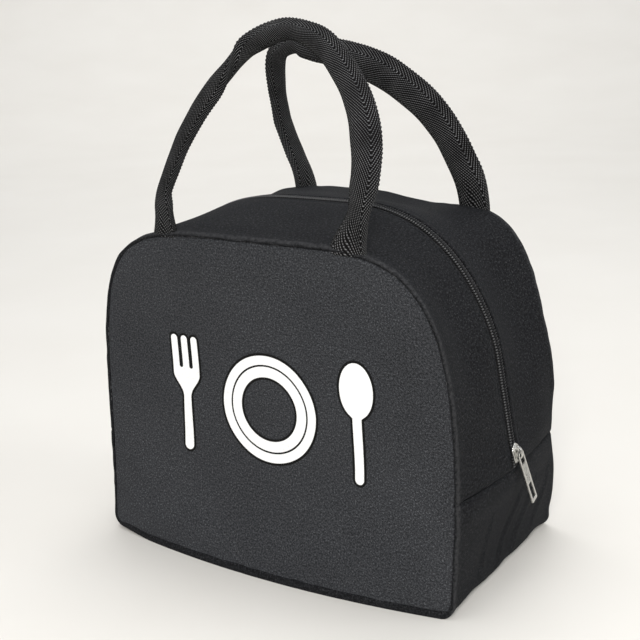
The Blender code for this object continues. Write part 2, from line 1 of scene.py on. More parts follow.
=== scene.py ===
"""Looks of the insulated cooler bag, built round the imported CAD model.

Everything is in metres, in the CAD frame: +X right along the front, +Y from front to back, +Z up. The
outline formulas are the CAD's, sampled more finely and with tighter base corners, and settled() then lets
the cloth sag a little. Along a wall, `v` runs from -1 at the front seam through 0 at the zip to 1 at the
rear seam.
"""

import math
from collections import namedtuple

import bmesh
import bpy
import numpy as np
from mathutils import Matrix, Vector, kdtree, noise


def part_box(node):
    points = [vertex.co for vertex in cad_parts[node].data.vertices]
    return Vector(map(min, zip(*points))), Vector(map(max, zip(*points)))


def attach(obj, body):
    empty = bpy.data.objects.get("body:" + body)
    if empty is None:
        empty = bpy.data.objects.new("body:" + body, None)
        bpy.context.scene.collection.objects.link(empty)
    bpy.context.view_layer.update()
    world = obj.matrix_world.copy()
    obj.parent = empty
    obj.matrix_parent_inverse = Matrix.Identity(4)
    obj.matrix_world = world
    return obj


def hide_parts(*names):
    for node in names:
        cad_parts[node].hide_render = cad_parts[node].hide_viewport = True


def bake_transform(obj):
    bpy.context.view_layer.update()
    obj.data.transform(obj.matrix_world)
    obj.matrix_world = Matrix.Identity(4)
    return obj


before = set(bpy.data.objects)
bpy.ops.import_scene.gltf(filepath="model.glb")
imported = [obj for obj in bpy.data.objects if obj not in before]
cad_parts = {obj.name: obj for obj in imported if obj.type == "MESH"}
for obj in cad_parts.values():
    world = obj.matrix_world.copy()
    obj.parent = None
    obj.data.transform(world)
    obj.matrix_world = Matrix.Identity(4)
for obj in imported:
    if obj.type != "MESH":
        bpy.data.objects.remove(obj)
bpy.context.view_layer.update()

MM = 0.001
SIDES = ((-1, "front"), (1, "rear"))

# Shape of the bag, as in the CAD
BASE_HALF_WIDTH = 0.109
BASE_CORNER_RADIUS = 0.007
SEAM_Z = 0.058
WAIST_Z = 0.089
WAIST_HALF_DEPTH = 0.0542
WAIST_CURVE = 0.68
REAR_LEAN = 0.020
BOW = 0.0107
BOW_TOP_Z = 0.070
# half width, lean, shoulder height, top height, side power, top power
FRONT_ARCH = np.array([0.1096, 0.00, 0.017, 0.1780, 5.15, 3.98])
ZIP_ARCH = np.array([0.1155, 0.16, 0.116, 0.1890, 3.60, 1.75])
REAR_ARCH = np.array([0.1105, 0.00, 0.020, 0.1830, 4.80, 3.30])

# Layers: thicknesses, and depths below the outside of the cloth
FABRIC = 0.8 * MM
FOAM_DEPTH = 2.3 * MM
FOAM = 2.2 * MM
FOIL_DEPTH = 5.6 * MM
FOIL = 0.4 * MM

# Zip
COIL_HALF = 3.0 * MM
COIL_PITCH = 1.42 * MM
TAPE_HALF = 14.5 * MM
TAPE_DEPTH = 1.3 * MM
TAPE = 0.5 * MM


def mix(a, b, share):
    return a + (b - a) * share


def smooth(share):
    share = np.clip(share, 0.0, 1.0)
    return share * share * (3 - 2 * share)


def hump(value, middle, width):
    """1 at the middle, fading to 0 one width away on both sides."""
    return smooth(1 - np.abs(value - middle) / width)


def noise_at(points, size, seed):
    """Smooth noise from about -1 to 1 at each point. Its waves are about `size` long."""
    flat = np.asarray(points, float).reshape(-1, 3) / size + seed * 17.3
    values = [noise.noise(Vector(point)) for point in flat]
    return np.array(values).reshape(np.shape(points)[:-1]) * 1.6


# --- Outline and walls ---


def arch_at(v):
    seam = FRONT_ARCH if v < 0 else REAR_ARCH
    return mix(seam, ZIP_ARCH, 1 - min(1.0, abs(v)) ** 2)


def arch_half_width(arch, z):
    half_width, lean, shoulder_z, top_z, side_power, top_power = arch
    rise = np.clip((z - shoulder_z) / (top_z - shoulder_z), 0, 1)
    return (half_width - lean * (z - SEAM_Z)) * (1 - rise**top_power) ** (1 / side_power)


def outline(v):
    """Many (x, z) points up the right half: round the base corner, up the side and over to the top."""
    arch = arch_at(v)
    turn = np.linspace(0, math.pi / 2, 40, endpoint=False)
    corner_x = BASE_HALF_WIDTH - BASE_CORNER_RADIUS * (1 - np.sin(turn))
    corner_z = BASE_CORNER_RADIUS * (1 - np.cos(turn))
    side_z = np.linspace(BASE_CORNER_RADIUS, SEAM_Z, 50, endpoint=False)
    share = smooth((side_z - BASE_CORNER_RADIUS) / (SEAM_Z - BASE_CORNER_RADIUS))
    side_x = mix(BASE_HALF_WIDTH, arch_half_width(arch, SEAM_Z), share)
    arch_z = arch[3] - (arch[3] - SEAM_Z) * (1 - np.linspace(0, 1, 400)) ** 4
    x = np.concatenate([corner_x, side_x, arch_half_width(arch, arch_z)])
    return np.stack([x, np.concatenate([corner_z, side_z, arch_z])], axis=1)


def resample(path, shares):
    """Points at the given shares of a path's length."""
    along = np.concatenate([[0], np.cumsum(np.linalg.norm(np.diff(path, axis=0), axis=1))])
    places = np.asarray(shares) * along[-1]
    return np.stack([np.interp(places, along, path[:, k]) for k in range(path.shape[1])], axis=1)


def climb(v, low_z, high_z, shares):
    """Points up the right half of the outline between two heights."""
    points = outline(v)
    inside = points[(points[:, 1] > low_z + 1e-7) & (points[:, 1] < high_z - 1e-7)]
    ends = [(np.interp(z, points[:, 1], points[:, 0]), z) for z in (low_z, min(high_z, points[-1, 1]))]
    if high_z > points[-1, 1]:
        ends[1] = (0.0, points[-1, 1])
    return resample(np.vstack([ends[:1], inside, ends[1:]]), shares)


def over_top(v, shares, low_z=SEAM_Z):
    """From the side seam on the right, over the top, to the side seam on the left."""
    right = climb(v, low_z, math.inf, shares)
    return np.vstack([right, right[-2::-1] * (-1, 1)])


def under_base(v, shares, floor_shares):
    """From the side seam on the left, under the base, to the side seam on the right."""
    right = climb(v, 1e-6, SEAM_Z, shares)
    flat_end = right[0, 0]
    floor = np.stack([mix(-flat_end, flat_end, floor_shares), np.zeros(len(floor_shares))], axis=1)
    return np.vstack([right[::-1] * (-1, 1), floor, right])


def wall_y(v, x, z):
    bow = BOW * (1 - (x / BASE_HALF_WIDTH) ** 2) * np.clip(1 - z / BOW_TOP_Z, 0, 1) ** 2
    half = WAIST_HALF_DEPTH + WAIST_CURVE * (z - WAIST_Z) ** 2 + np.maximum(0, bow)
    return v * (half + (REAR_LEAN * z if v > 0 else 0))


def path_normals(path):
    """Outward (x, z) normals of a path that has the bag on its left."""
    along = np.gradient(path, axis=0)
    along /= np.maximum(1e-9, np.linalg.norm(along, axis=1, keepdims=True))
    return np.stack([along[:, 1], -along[:, 0]], axis=1)


# --- Meshes ---


def placed(name, mesh):
    obj = bpy.data.objects.new(name, mesh)
    bpy.context.scene.collection.objects.link(obj)
    return obj


def new_object(name, points, faces, material, uv=None):
    mesh = bpy.data.meshes.new(name)
    mesh.from_pydata(np.asarray(points).tolist(), [], [list(map(int, face)) for face in faces])
    if uv is not None:
        layer = mesh.uv_layers.new(name="cut")
        corners = np.empty(len(mesh.loops), np.int32)
        mesh.loops.foreach_get("vertex_index", corners)
        layer.data.foreach_set("uv", np.asarray(uv, np.float32)[corners].reshape(-1))
    mesh.materials.append(material)
    mesh.shade_smooth()
    return placed(name, mesh)


def grid_quads(index):
    a, b, c, d = index[:-1, :-1], index[:-1, 1:], index[1:, 1:], index[1:, :-1]
    return np.stack([a, b, c, d], axis=-1).reshape(-1, 4)


def tube_faces(rings, sides):
    """The faces of a closed tube made of rings of points."""
    index = np.arange(rings * sides).reshape(rings, sides)
    caps = [index[0, ::-1].tolist(), index[-1].tolist()]
    return grid_quads(np.concatenate([index, index[:, :1]], axis=1)).tolist() + caps


def filled_curve(name, lines):
    """A flat curve filled between closed outlines."""
    curve = bpy.data.curves.new(name, "CURVE")
    curve.dimensions = "2D"
    curve.fill_mode = "BOTH"
    for line in lines:
        spline = curve.splines.new("POLY")
        spline.points.add(len(line) - 1)
        for point, (across, up) in zip(spline.points, line):
            point.co = (across, up, 0, 1)
        spline.use_cyclic_u = True
    return curve


def curve_mesh(curve):
    holder = placed(curve.name, curve)
    mesh = bpy.data.meshes.new_from_object(holder)
    bpy.data.objects.remove(holder)
    return mesh


def shell(name, outer, inner, material, uv, ring=False):
    """A closed body between two matching grids. With ring, its last row joins on to its first."""
    rows, columns = outer.shape[:2]
    index = np.arange(rows * columns).reshape(rows, columns)
    if ring:
        index = np.vstack([index, index[:1]])
    inside = index + rows * columns
    faces = [grid_quads(index), grid_quads(inside)[:, ::-1]]
    edges = [index[:, 0], index[:, -1][::-1]]
    inside_edges = [inside[:, 0], inside[:, -1][::-1]]
    if not ring:
        edges += [index[0][::-1], index[-1]]
        inside_edges += [inside[0][::-1], inside[-1]]
    for line, inside_line in zip(edges, inside_edges):
        faces.append(grid_quads(np.stack([inside_line, line], axis=1)))
    points = np.concatenate([outer.reshape(-1, 3), inner.reshape(-1, 3)])
    both = np.concatenate([uv.reshape(-1, 2)] * 2)
    return new_object(name, points, np.concatenate(faces), material, both)


def paint_fold_highlight(obj, amounts):
    """Stores how strongly a painted highlight lightens the cloth at each point of a shell, given for its
    outer grid.
    """
    attribute = obj.data.attributes.new("fold_highlight", "FLOAT", "POINT")
    attribute.data.foreach_set("value", np.concatenate([amounts.reshape(-1)] * 2).astype(np.float32))


def weld(obj):
    """Joins points that coincide and turns all faces outwards."""
    mesh = bmesh.new()
    mesh.from_mesh(obj.data)
    bmesh.ops.remove_doubles(mesh, verts=mesh.verts, dist=1e-6)
    bmesh.ops.recalc_face_normals(mesh, faces=mesh.faces)
    mesh.to_mesh(obj.data)
    mesh.free()


def cut_coordinates(grid):
    """(across, along) lengths in metres over a grid, for patterns that follow the cloth."""
    along = np.linalg.norm(np.diff(grid, axis=0, prepend=grid[:1]), axis=2).cumsum(axis=0)
    across = np.linalg.norm(np.diff(grid, axis=1, prepend=grid[:, :1]), axis=2).cumsum(axis=1)
    middle = grid.shape[1] // 2
    return np.stack([across, np.repeat(along[:, middle : middle + 1], grid.shape[1], axis=1)], axis=2)


# --- Materials ---

STRAP_CUT = 38 * MM
RIB_PITCH = 2.3 * MM
RIB_SLOPE = 2.2


class Nodes:
    """A short way to write a material's nodes."""

    def __init__(self, name):
        self.material = bpy.data.materials.new(name)
        self.material.use_nodes = True
        self.tree = self.material.node_tree
        self.shader = self.tree.nodes["Principled BSDF"]

    def node(self, kind, settings=(), **inputs):
        made = self.tree.nodes.new(f"ShaderNode{kind}")
        for key, value in dict(settings).items():
            setattr(made, key, value)
        for key, value in inputs.items():
            self.put(made.inputs[int(key[1:]) if key[0] == "i" and key[1:].isdigit() else key], value)
        return made

    def put(self, socket, value):
        if isinstance(value, bpy.types.NodeSocket):
            self.tree.links.new(value, socket)
        else:
            socket.default_value = value

    def math(self, operation, a, b=0.0, c=0.0):
        return self.node("Math", {"operation": operation}, i0=a, i1=b, i2=c).outputs[0]

    def ramp(self, value, low, high, to_low=0.0, to_high=1.0):
        made = self.node("MapRange", {"interpolation_type": "SMOOTHSTEP"})
        for key, number in enumerate((value, low, high, to_low, to_high)):
            self.put(made.inputs[key], number)
        return made.outputs[0]

    def colour(self, share, low, high):
        """A mix of two colours, each one given as numbers or as a socket."""
        made = self.node("Mix", {"data_type": "RGBA"})
        for key, value in (("Factor", share), ("A", low), ("B", high)):
            self.put(made.inputs[key], (*value, 1) if isinstance(value, tuple) else value)
        return made.outputs["Result"]

    def noise(self, vector, scale, detail=2.0, roughness=0.5):
        made = self.node("TexNoise", (), Scale=scale, Detail=detail, Roughness=roughness)
        self.put(made.inputs["Vector"], vector)
        return made.outputs["Fac"]

    def place(self):
        """The object's own coordinates, in metres."""
        return self.node("TexCoord").outputs["Object"]

    def cut(self):
        """The (across, along) coordinates of the cloth, in metres."""
        return self.node("UVMap", {"uv_map": "cut"}).outputs[0]

    def split(self, vector):
        return self.node("SeparateXYZ", (), Vector=vector).outputs

    def bump(self, height, distance, strength=1.0, below=None):
        made = self.node("Bump", (), Strength=strength, Distance=distance, Height=height)
        if below:
            self.put(made.inputs["Normal"], below)
        return made.outputs[0]

    def wave(self, value, pitch):
        """A sine from 0 to 1 with this pitch."""
        turned = self.math("MULTIPLY", value, 2 * math.pi / pitch)
        return self.math("MULTIPLY_ADD", self.math("SINE", turned), 0.5, 0.5)

    def finish(self, **inputs):
        for key, value in inputs.items():
            self.put(self.shader.inputs[key.replace("_", " ")], value)
        return self.material


def cloth_material(name, dark, middle, light, grain_size, gloss, twill_pitch=1.05 * MM):
    """Woven polyester: a fine diagonal twill, lighter flecks, slow changes of tone and a painted highlight
    along the rolled folds beside the panels.
    """
    n = Nodes(name)
    cut = n.cut()
    across, along = n.split(cut)[:2]
    diagonal = n.math("ADD", across, along)
    wobble = n.math("MULTIPLY", n.noise(cut, 300.0, 1.0), 0.8 * MM)
    twill = n.wave(n.math("ADD", diagonal, wobble), twill_pitch)
    counter = n.wave(n.math("SUBTRACT", across, along), twill_pitch * 0.71)
    weave = n.math("MULTIPLY_ADD", counter, 0.4, n.math("MULTIPLY", twill, 0.6))
    grain = n.noise(cut, 1.0 / grain_size, 2.0, 0.75)
    slow = n.noise(cut, 13.0, 3.0, 0.6)
    tone = n.math("MULTIPLY_ADD", weave, 0.40, n.ramp(grain, 0.34, 0.70))
    tone = n.math("MULTIPLY_ADD", slow, 0.35, n.math("MULTIPLY", tone, 0.75))
    colour = n.colour(n.math("SUBTRACT", tone, 0.12), dark, middle)
    fleck = n.ramp(n.noise(cut, 0.7 / grain_size + 500.0, 1.0, 0.5), 0.56, 0.74)
    colour = n.colour(n.math("MULTIPLY", fleck, slow), colour, light)
    # Painted highlight: the rolled folds beside the panels are lightened towards the fleck colour, in
    # mottled patches.
    fold_highlight = n.node("Attribute", {"attribute_name": "fold_highlight"}).outputs["Fac"]
    fold_highlight_share = n.math("MULTIPLY", fold_highlight, n.ramp(n.noise(cut, 420.0, 3.0, 0.7), 0.30, 0.66, 0.15, 1.0))
    colour = n.colour(n.math("MULTIPLY", fold_highlight_share, 0.50), colour, light)
    height = n.bump(grain, 0.22 * MM, 0.8, n.bump(weave, 0.14 * MM, 0.9))
    return n.finish(
        Base_Color=colour,
        Roughness=n.ramp(grain, 0.3, 0.7, 0.70, 0.90),
        Normal=height,
        Sheen_Weight=0.2 * gloss,
        Sheen_Roughness=0.45,
        Sheen_Tint=(0.75, 0.8, 0.9, 1),
        Specular_IOR_Level=gloss,
    )


def webbing_material():
    """Herringbone webbing: slanted ribs of small stitches, painted light along the ribs and stitches as
    highlights and near black between them as painted shade.
    """
    n = Nodes("webbing")
    cut = n.cut()
    column, along = n.split(cut)[:2]
    wobble = n.math("MULTIPLY", n.noise(cut, 160.0, 1.0), 0.5 * MM)
    slanted = n.math("ADD", n.math("MULTIPLY_ADD", column, RIB_SLOPE, along), wobble)
    rib = n.wave(slanted, RIB_PITCH)
    stitch = n.wave(n.math("MULTIPLY_ADD", column, -0.45, along), 1.05 * MM)
    # Painted highlight on each rib and stitch, and painted shade between them.
    light = n.math("MULTIPLY", n.ramp(rib, 0.56, 1.0), n.ramp(stitch, 0.25, 0.85, 0.12, 1.0))
    light = n.math("MULTIPLY", light, n.ramp(n.noise(cut, 75.0, 3.0), 0.25, 0.7, 0.5, 1.0))
    colour = n.colour(light, (0.0004, 0.0004, 0.0005), (0.185, 0.185, 0.189))
    height = n.math("MULTIPLY_ADD", stitch, 0.3, rib)
    return n.finish(
        Base_Color=colour,
        Roughness=n.ramp(rib, 0.2, 1.0, 0.75, 0.55),
        Normal=n.bump(height, 0.35 * MM, 1.0),
        Sheen_Weight=0.01,
        Specular_IOR_Level=0.12,
    )


def tape_material():
    n = Nodes("zip_tape_cloth")
    cut = n.cut()
    across, along = n.split(cut)[:2]
    rib = n.wave(along, 0.7 * MM)
    warp = n.wave(across, 0.9 * MM)
    height = n.math("MULTIPLY", rib, warp)
    colour = n.colour(height, (0.008, 0.008, 0.009), (0.022, 0.022, 0.024))
    return n.finish(Base_Color=colour, Roughness=0.8, Normal=n.bump(height, 0.12 * MM))


def nylon_material():
    n = Nodes("zip_coil_nylon")
    where = n.place()
    grain = n.noise(where, 900.0, 2.0)
    colour = n.colour(grain, (0.0015, 0.0015, 0.002), (0.006, 0.006, 0.007))
    return n.finish(
        Base_Color=colour,
        Roughness=n.ramp(grain, 0.3, 0.7, 0.30, 0.50),
        Normal=n.bump(grain, 0.05 * MM),
        Specular_IOR_Level=0.3,
    )


def thread_material(name, dark, light):
    n = Nodes(name)
    where = n.place()
    grain = n.noise(where, 1400.0, 2.0)
    colour = n.colour(grain, dark, light)
    return n.finish(Base_Color=colour, Roughness=0.6, Normal=n.bump(grain, 0.08 * MM))


def nickel_material():
    """Die-cast, tumbled and nickel-plated: bright, with faint scratches and slow patches of darker and
    lighter tone.
    """
    n = Nodes("nickel")
    where = n.place()
    soft = n.noise(where, 160.0, 4.0, 0.6)
    brushed = n.node("Mapping", (), Vector=where, Scale=(1400.0, 1400.0, 160.0)).outputs[0]
    scratch = n.noise(brushed, 1.0, 3.0, 0.6)
    colour = n.colour(soft, (0.36, 0.355, 0.335), (0.66, 0.65, 0.62))
    height = n.math("MULTIPLY_ADD", scratch, 0.4, soft)
    return n.finish(
        Base_Color=colour,
        Metallic=1.0,
        Roughness=n.ramp(scratch, 0.3, 0.7, 0.20, 0.38),
        Normal=n.bump(height, 0.02 * MM, 0.5),
    )


def foil_material():
    n = Nodes("foil_lining")
    cut = n.cut()
    crease = n.node("TexVoronoi", {"feature": "DISTANCE_TO_EDGE"}, Scale=70.0, Vector=cut).outputs[0]
    crinkle = n.noise(cut, 190.0, 4.0, 0.6)
    height = n.math("MULTIPLY_ADD", n.ramp(crease, 0.0, 0.12), 0.6, crinkle)
    colour = n.colour(crinkle, (0.58, 0.59, 0.60), (0.84, 0.85, 0.86))
    return n.finish(
        Base_Color=colour,
        Metallic=0.92,
        Roughness=n.ramp(crinkle, 0.3, 0.7, 0.20, 0.36),
        Normal=n.bump(height, 0.8 * MM, 0.8),
    )


def foam_material():
    n = Nodes("epe_foam")
    where = n.place()
    cells = n.node("TexVoronoi", (), Scale=900.0, Vector=where).outputs["Distance"]
    colour = n.colour(cells, (0.86, 0.86, 0.84), (0.70, 0.70, 0.68))
    return n.finish(
        Base_Color=colour,
        Roughness=0.7,
        Normal=n.bump(cells, 0.3 * MM),
        Subsurface_Weight=0.1,
        Subsurface_Radius=(0.002, 0.002, 0.002),
    )


def print_material(name, low, high, roughness):
    """Screen ink that follows the weave under it, with fine pin holes."""
    n = Nodes(name)
    cut = n.cut()
    across, along = n.split(cut)[:2]
    twill = n.wave(n.math("ADD", across, along), 0.95 * MM)
    grain = n.noise(cut, 700.0, 3.0, 0.6)
    height = n.math("MULTIPLY_ADD", twill, 0.5, grain)
    colour = n.colour(n.ramp(grain, 0.25, 0.6), low, high)
    return n.finish(
        Base_Color=colour,
        Roughness=roughness,
        Normal=n.bump(height, 0.09 * MM, 0.8),
        Specular_IOR_Level=0.15,
    )


PANEL_CLOTH = cloth_material(
    "oxford_cloth",
    (0.0035, 0.0037, 0.0046),
    (0.0560, 0.0585, 0.0645),
    (0.150, 0.154, 0.166),
    0.95 * MM,
    0.12,
)
GUSSET_CLOTH = cloth_material(
    "gusset_cloth",
    (0.0005, 0.0005, 0.0007),
    (0.0212, 0.0220, 0.0242),
    (0.068, 0.068, 0.071),
    1.35 * MM,
    0.06,
)
WEBBING = webbing_material()
ZIP_TAPE = tape_material()
NYLON = nylon_material()
THREAD = thread_material("sewing_thread", (0.010, 0.010, 0.011), (0.090, 0.090, 0.095))
# The thread over each coil turn is coloured lighter than the nylon as a painted highlight: the front row's
# copy is the lit one, and the rear row's copy is a darker, painted-shade copy of the same thread.
KNOT_THREADS_LIT_AND_SHADED = {
    "front": thread_material("zip_thread_painted_highlight", (0.024, 0.024, 0.025), (0.115, 0.115, 0.117)),
    "rear": thread_material("zip_thread_shaded", (0.012, 0.012, 0.013), (0.060, 0.060, 0.062)),
}
NICKEL = nickel_material()
FOIL_FILM = foil_material()
FOAM_SHEET = foam_material()
WHITE_INK = print_material("white_print", (0.80, 0.80, 0.80), (0.93, 0.93, 0.925), 0.55)
BLACK_INK = print_material("black_print", (0.001, 0.001, 0.001), (0.003, 0.003, 0.003), 0.60)


# --- Soft relief ---

# The rolled fold of the strip beside each panel: (behind the panel's face, outward from the outline), in mm.
ROLL = np.array([
    (2.60, -1.55), (1.30, -1.50), (0.55, -1.30), (0.10, -0.90), (-0.08, -0.42), (0.00, 0.05),
    (0.35, 0.40), (0.95, 0.60), (1.85, 0.60), (3.00, 0.42), (4.40, 0.20), (6.00, 0.05),
    (8.00, 0.00),
]) * MM
PANEL_INSET = 1.2 * MM
PANEL_MIDDLE = np.array([0.0, 0.088])
# Height of a panel's bottom seam, on the left and on the right
BOTTOM_SEAM_Z = (0.5 * MM, 3.2 * MM)


def smooth_profile(points, steps):
    """A finer profile through the same points, by Catmull-Rom."""
    padded = np.vstack([2 * points[0] - points[1], points, 2 * points[-1] - points[-2]])
    found = []
    for k in range(1, len(padded) - 2):
        for t in np.linspace(0, 1, steps, endpoint=False):
            a, b, c, d = padded[k - 1 : k + 3]
            square, cube = 2 * a - 5 * b + 4 * c - d, 3 * b - a - 3 * c + d
            found.append(0.5 * (2 * b + (c - a) * t + square * t**2 + cube * t**3))
    return np.array(found + [points[-1]])


ROLL_LINE = smooth_profile(ROLL, 2)


def soft_waves(points, seed):
    """The slow unevenness of padded cloth."""
    return 0.75 * MM * noise_at(points, 0.075, seed) + 0.24 * MM * noise_at(points, 0.024, seed + 1)


def puckers(points, distance, seed, amount=1.0):
    """Short gathers that a seam pulls into the cloth beside it."""
    wave = noise_at(points, 0.0072, seed)
    return amount * 0.26 * MM * wave * np.exp(-np.maximum(0, distance) / (5 * MM))


def strip(columns, path_at):
    """A strip's base grid and its outward normals. Columns are (v, outward offset) pairs."""
    grid = []
    normals = []
    for v, offset in columns:
        path = path_at(v)
        out = path_normals(path)
        grid.append([path[:, 0], wall_y(v, path[:, 0], path[:, 1]), path[:, 1], np.full(len(path), offset)])
        normals.append([out[:, 0], np.zeros(len(path)), out[:, 1]])
    grid = np.array(grid).transpose(2, 0, 1)
    return grid[..., :3], grid[..., 3], np.array(normals).transpose(2, 0, 1)


def roll_columns(side):
    """Columns of the rolled fold at the front (-1) or rear (1) seam, from the seam inwards."""
    return [(side * (1 - behind / WAIST_HALF_DEPTH), outward) for behind, outward in ROLL_LINE]


def even_columns(side, start, stop, count):
    """Flat columns between two distances from the panel's face."""
    distances = np.linspace(start, stop, count + 1)[1:]
    return [(side * (1 - distance / WAIST_HALF_DEPTH), 0.0) for distance in distances]


# The lip beside the zip: (distance from the zip's middle, outward), in mm.
LIP = np.array([
    (13.0, 0.00), (10.5, 0.03), (8.8, 0.02), (7.8, -0.05), (7.1, -0.12), (6.4, -0.04), (5.7, 0.08),
    (5.0, 0.08), (4.50, -0.10), (4.25, -0.45), (4.40, -0.85),
]) * MM
LIP_LINE = smooth_profile(LIP, 2)


def lip_columns(side):
    return [(side * distance / WAIST_HALF_DEPTH, outward) for distance, outward in LIP_LINE]


def side_seam_dip(z, from_seam, above):
    """The groove at the side seam and the fullness of the cloth next to it. Both die out at the panels."""
    distance = np.abs(z - SEAM_Z)
    groove = -1.3 * MM * np.clip(1 - distance / (1.9 * MM), 0, 1) ** 1.6
    fullness = (0.5 if above else 1.1) * MM * hump(distance, 8 * MM, 9 * MM)
    inside = smooth((from_seam + 1 * MM) / (9 * MM))
    return groove * (0.35 + 0.65 * inside) + fullness * inside


def painted_fold_highlight(v, offset):
    """How strongly the rolled fold beside a panel is painted with a highlight, by distance from the panel's
    face.
    """
    behind = (1 - np.abs(v)) * WAIST_HALF_DEPTH
    return hump(behind, 0.9 * MM, 2.3 * MM) * smooth((offset + 0.4 * MM) / (0.7 * MM))


def gusset_hollow(points, v):
    """How far a gusset sinks in midway between its seam and the zip. All its layers share this."""
    z = points[..., 2]
    middle = smooth(1 - np.abs(np.abs(v) - 0.52) / 0.45)
    shoulder = smooth((z - 0.085) / 0.035) * smooth((0.172 - z) / 0.03)
    return -middle * (2.6 * MM * shoulder + 1.2 * MM * smooth((z - 0.165) / 0.012))


def gusset_relief(points, v, side):
    """Outward shape of the gusset on top of the CAD's surface."""
    z = points[..., 2]
    from_seam = (1 - np.abs(v)) * WAIST_HALF_DEPTH
    from_zip = np.abs(v) * WAIST_HALF_DEPTH
    inner = smooth((from_seam - 2 * MM) / (8 * MM)) * smooth((from_zip - 5 * MM) / (8 * MM))
    relief = gusset_hollow(points, v) + soft_waves(points, 3 + side) * (0.25 + 0.75 * inner)
    relief = relief + puckers(points, from_seam, 11 + side) + side_seam_dip(z, from_seam, True)
    return relief + puckers(points, np.abs(z - SEAM_Z), 17 + side, 0.8)


# Distances of the rows next to the side seam, and the cloth's lengths from there to the top and to the base
SEAM_ROWS = np.array([0, 0.3, 0.6, 0.95, 1.35, 1.85, 2.5, 3.3, 4.3]) * MM
GUSSET_CLIMB = 0.215
BAND_CLIMB = 0.063
FINE_ROWS = 132
# The inside of a seam fold: its slack, and its least distance from the panel's face
FOLD_SLACK = 0.15 * MM
FOLD_INSET = 2.7 * MM


def fold_inside(base, normals, offset, relief):
    """The inner grid of a strip whose edges are folded."""
    deep = FABRIC + np.maximum(0, offset) + FOLD_SLACK
    return base + normals * (np.minimum(offset, 0) + relief - deep)[..., None]


def gusset_shares():
    """Row places from the side seam to the top: close together at the seam, then even."""
    close = SEAM_ROWS / GUSSET_CLIMB
    return np.concatenate([close, np.linspace(close[-1], 1, FINE_ROWS)[1:]])


def gusset(side, place):
    """One half of the zipped arch, from its side seams over the top, with its seam fold and zip lip."""
    shares = gusset_shares()
    between = even_columns(side, ROLL[-1, 0], WAIST_HALF_DEPTH - LIP[0, 0], 20)[:-1]
    columns = roll_columns(side) + between + lip_columns(side)
    if side > 0:
        columns = columns[::-1]
    base, offset, normals = strip(columns, lambda v: over_top(v, shares))
    v = np.array([column[0] for column in columns])[None, :]
    relief = gusset_relief(base, np.broadcast_to(v, offset.shape), side)
    wander = noise_at(base, 0.05, 31 + side) * 0.35 * MM * (np.abs(v) < 0.16)
    outer = base + normals * (offset + relief)[..., None]
    outer[..., 1] += wander
    limit = np.abs(wall_y(side * (1 - FOLD_INSET / WAIST_HALF_DEPTH), base[..., 0], base[..., 2]))
    inner = fold_inside(base, normals, offset, relief)
    inner[..., 1] = side * np.minimum(np.abs(base[..., 1]), limit) + wander
    obj = shell(f"{place}_gusset_cloth", outer, inner, GUSSET_CLOTH, cut_coordinates(outer))
    paint_fold_highlight(obj, painted_fold_highlight(v, offset))
    ends = [f"fabric_gusset_{place}_{hand}_end" for hand in ("right", "left")]
    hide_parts(f"fabric_{place}_gusset", *ends)
    bend(obj)


def settled(points):
    """The points after the bag has settled: its rear top sags right of the middle, its rear sides swell."""
    x, y, z = points[..., 0], points[..., 1], points[..., 2]
    rear = smooth(y / 0.05)
    sag = 5 * MM * hump(x, 0.040, 0.045) * rear * smooth((z - 0.12) / 0.05)
    swell = 3.2 * MM * hump(z, 0.092, 0.042) + 2.8 * MM * hump(z, 0.032, 0.030)
    swell = swell * rear * smooth((np.abs(x) - 0.05) / 0.05)
    return points + np.stack([np.sign(x) * swell, np.zeros_like(y), -sag], axis=-1)


def settle(obj):
    points = np.empty(3 * len(obj.data.vertices), np.float32)
    obj.data.vertices.foreach_get("co", points)
    obj.data.vertices.foreach_set("co", settled(points.reshape(-1, 3)).astype(np.float32).reshape(-1))
    obj.data.update()


def bend(obj):
    """The piece settles, and its placement is baked into its points."""
    settle(obj)
    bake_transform(obj)


def band():
    """The strip under the bag and up to both side seams, with a seam fold at each edge."""
    close = 1 - SEAM_ROWS[::-1] / BAND_CLIMB
    shares = np.concatenate([np.linspace(0, close[0], 40)[:-1], close])
    floor_shares = np.linspace(0, 1, 92)[1:-1]
    middle = np.linspace(ROLL[-1, 0], 2 * WAIST_HALF_DEPTH - ROLL[-1, 0], 62)[1:-1]
    columns = roll_columns(-1)
    columns += [(distance / WAIST_HALF_DEPTH - 1, 0.0) for distance in middle]
    columns += roll_columns(1)[::-1]
    base, offset, normals = strip(columns, lambda v: under_base(v, shares, floor_shares))
    x, z = base[..., 0], base[..., 2]
    v = np.broadcast_to(np.array([column[0] for column in columns])[None, :], offset.shape)
    from_seam = (1 - np.abs(v)) * WAIST_HALF_DEPTH
    low = smooth((9 * MM - z) / (7 * MM))
    offset = np.where(offset < 0, offset * (1 + 1.6 * low), offset)
    relief = side_seam_dip(z, from_seam, False) * (z > 0.02)
    relief = relief + soft_waves(base, 7) * smooth(from_seam / (10 * MM)) * smooth(z / 0.02)
    relief = relief + puckers(base, from_seam, 13) + puckers(base, SEAM_Z - z, 19, 0.8)
    relief = relief + band_wrinkles(base, v)
    outer = base + normals * (offset + relief)[..., None]
    lift = corner_lift(outer)
    outer[..., 2] = np.maximum(outer[..., 2], 0.05 * MM) + lift
    inner = fold_inside(base, normals, offset, relief)
    limit = 1 - FOLD_INSET / WAIST_HALF_DEPTH
    inner[..., 1] = np.clip(base[..., 1], wall_y(-limit, x, z), wall_y(limit, x, z))
    inner[..., 2] = np.maximum(inner[..., 2], 0.9 * MM) + lift
    obj = shell("band_cloth", outer, inner, GUSSET_CLOTH, cut_coordinates(outer))
    paint_fold_highlight(obj, painted_fold_highlight(v, offset))
    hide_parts("fabric_band")
    settle(obj)
    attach(obj, "bag_base")


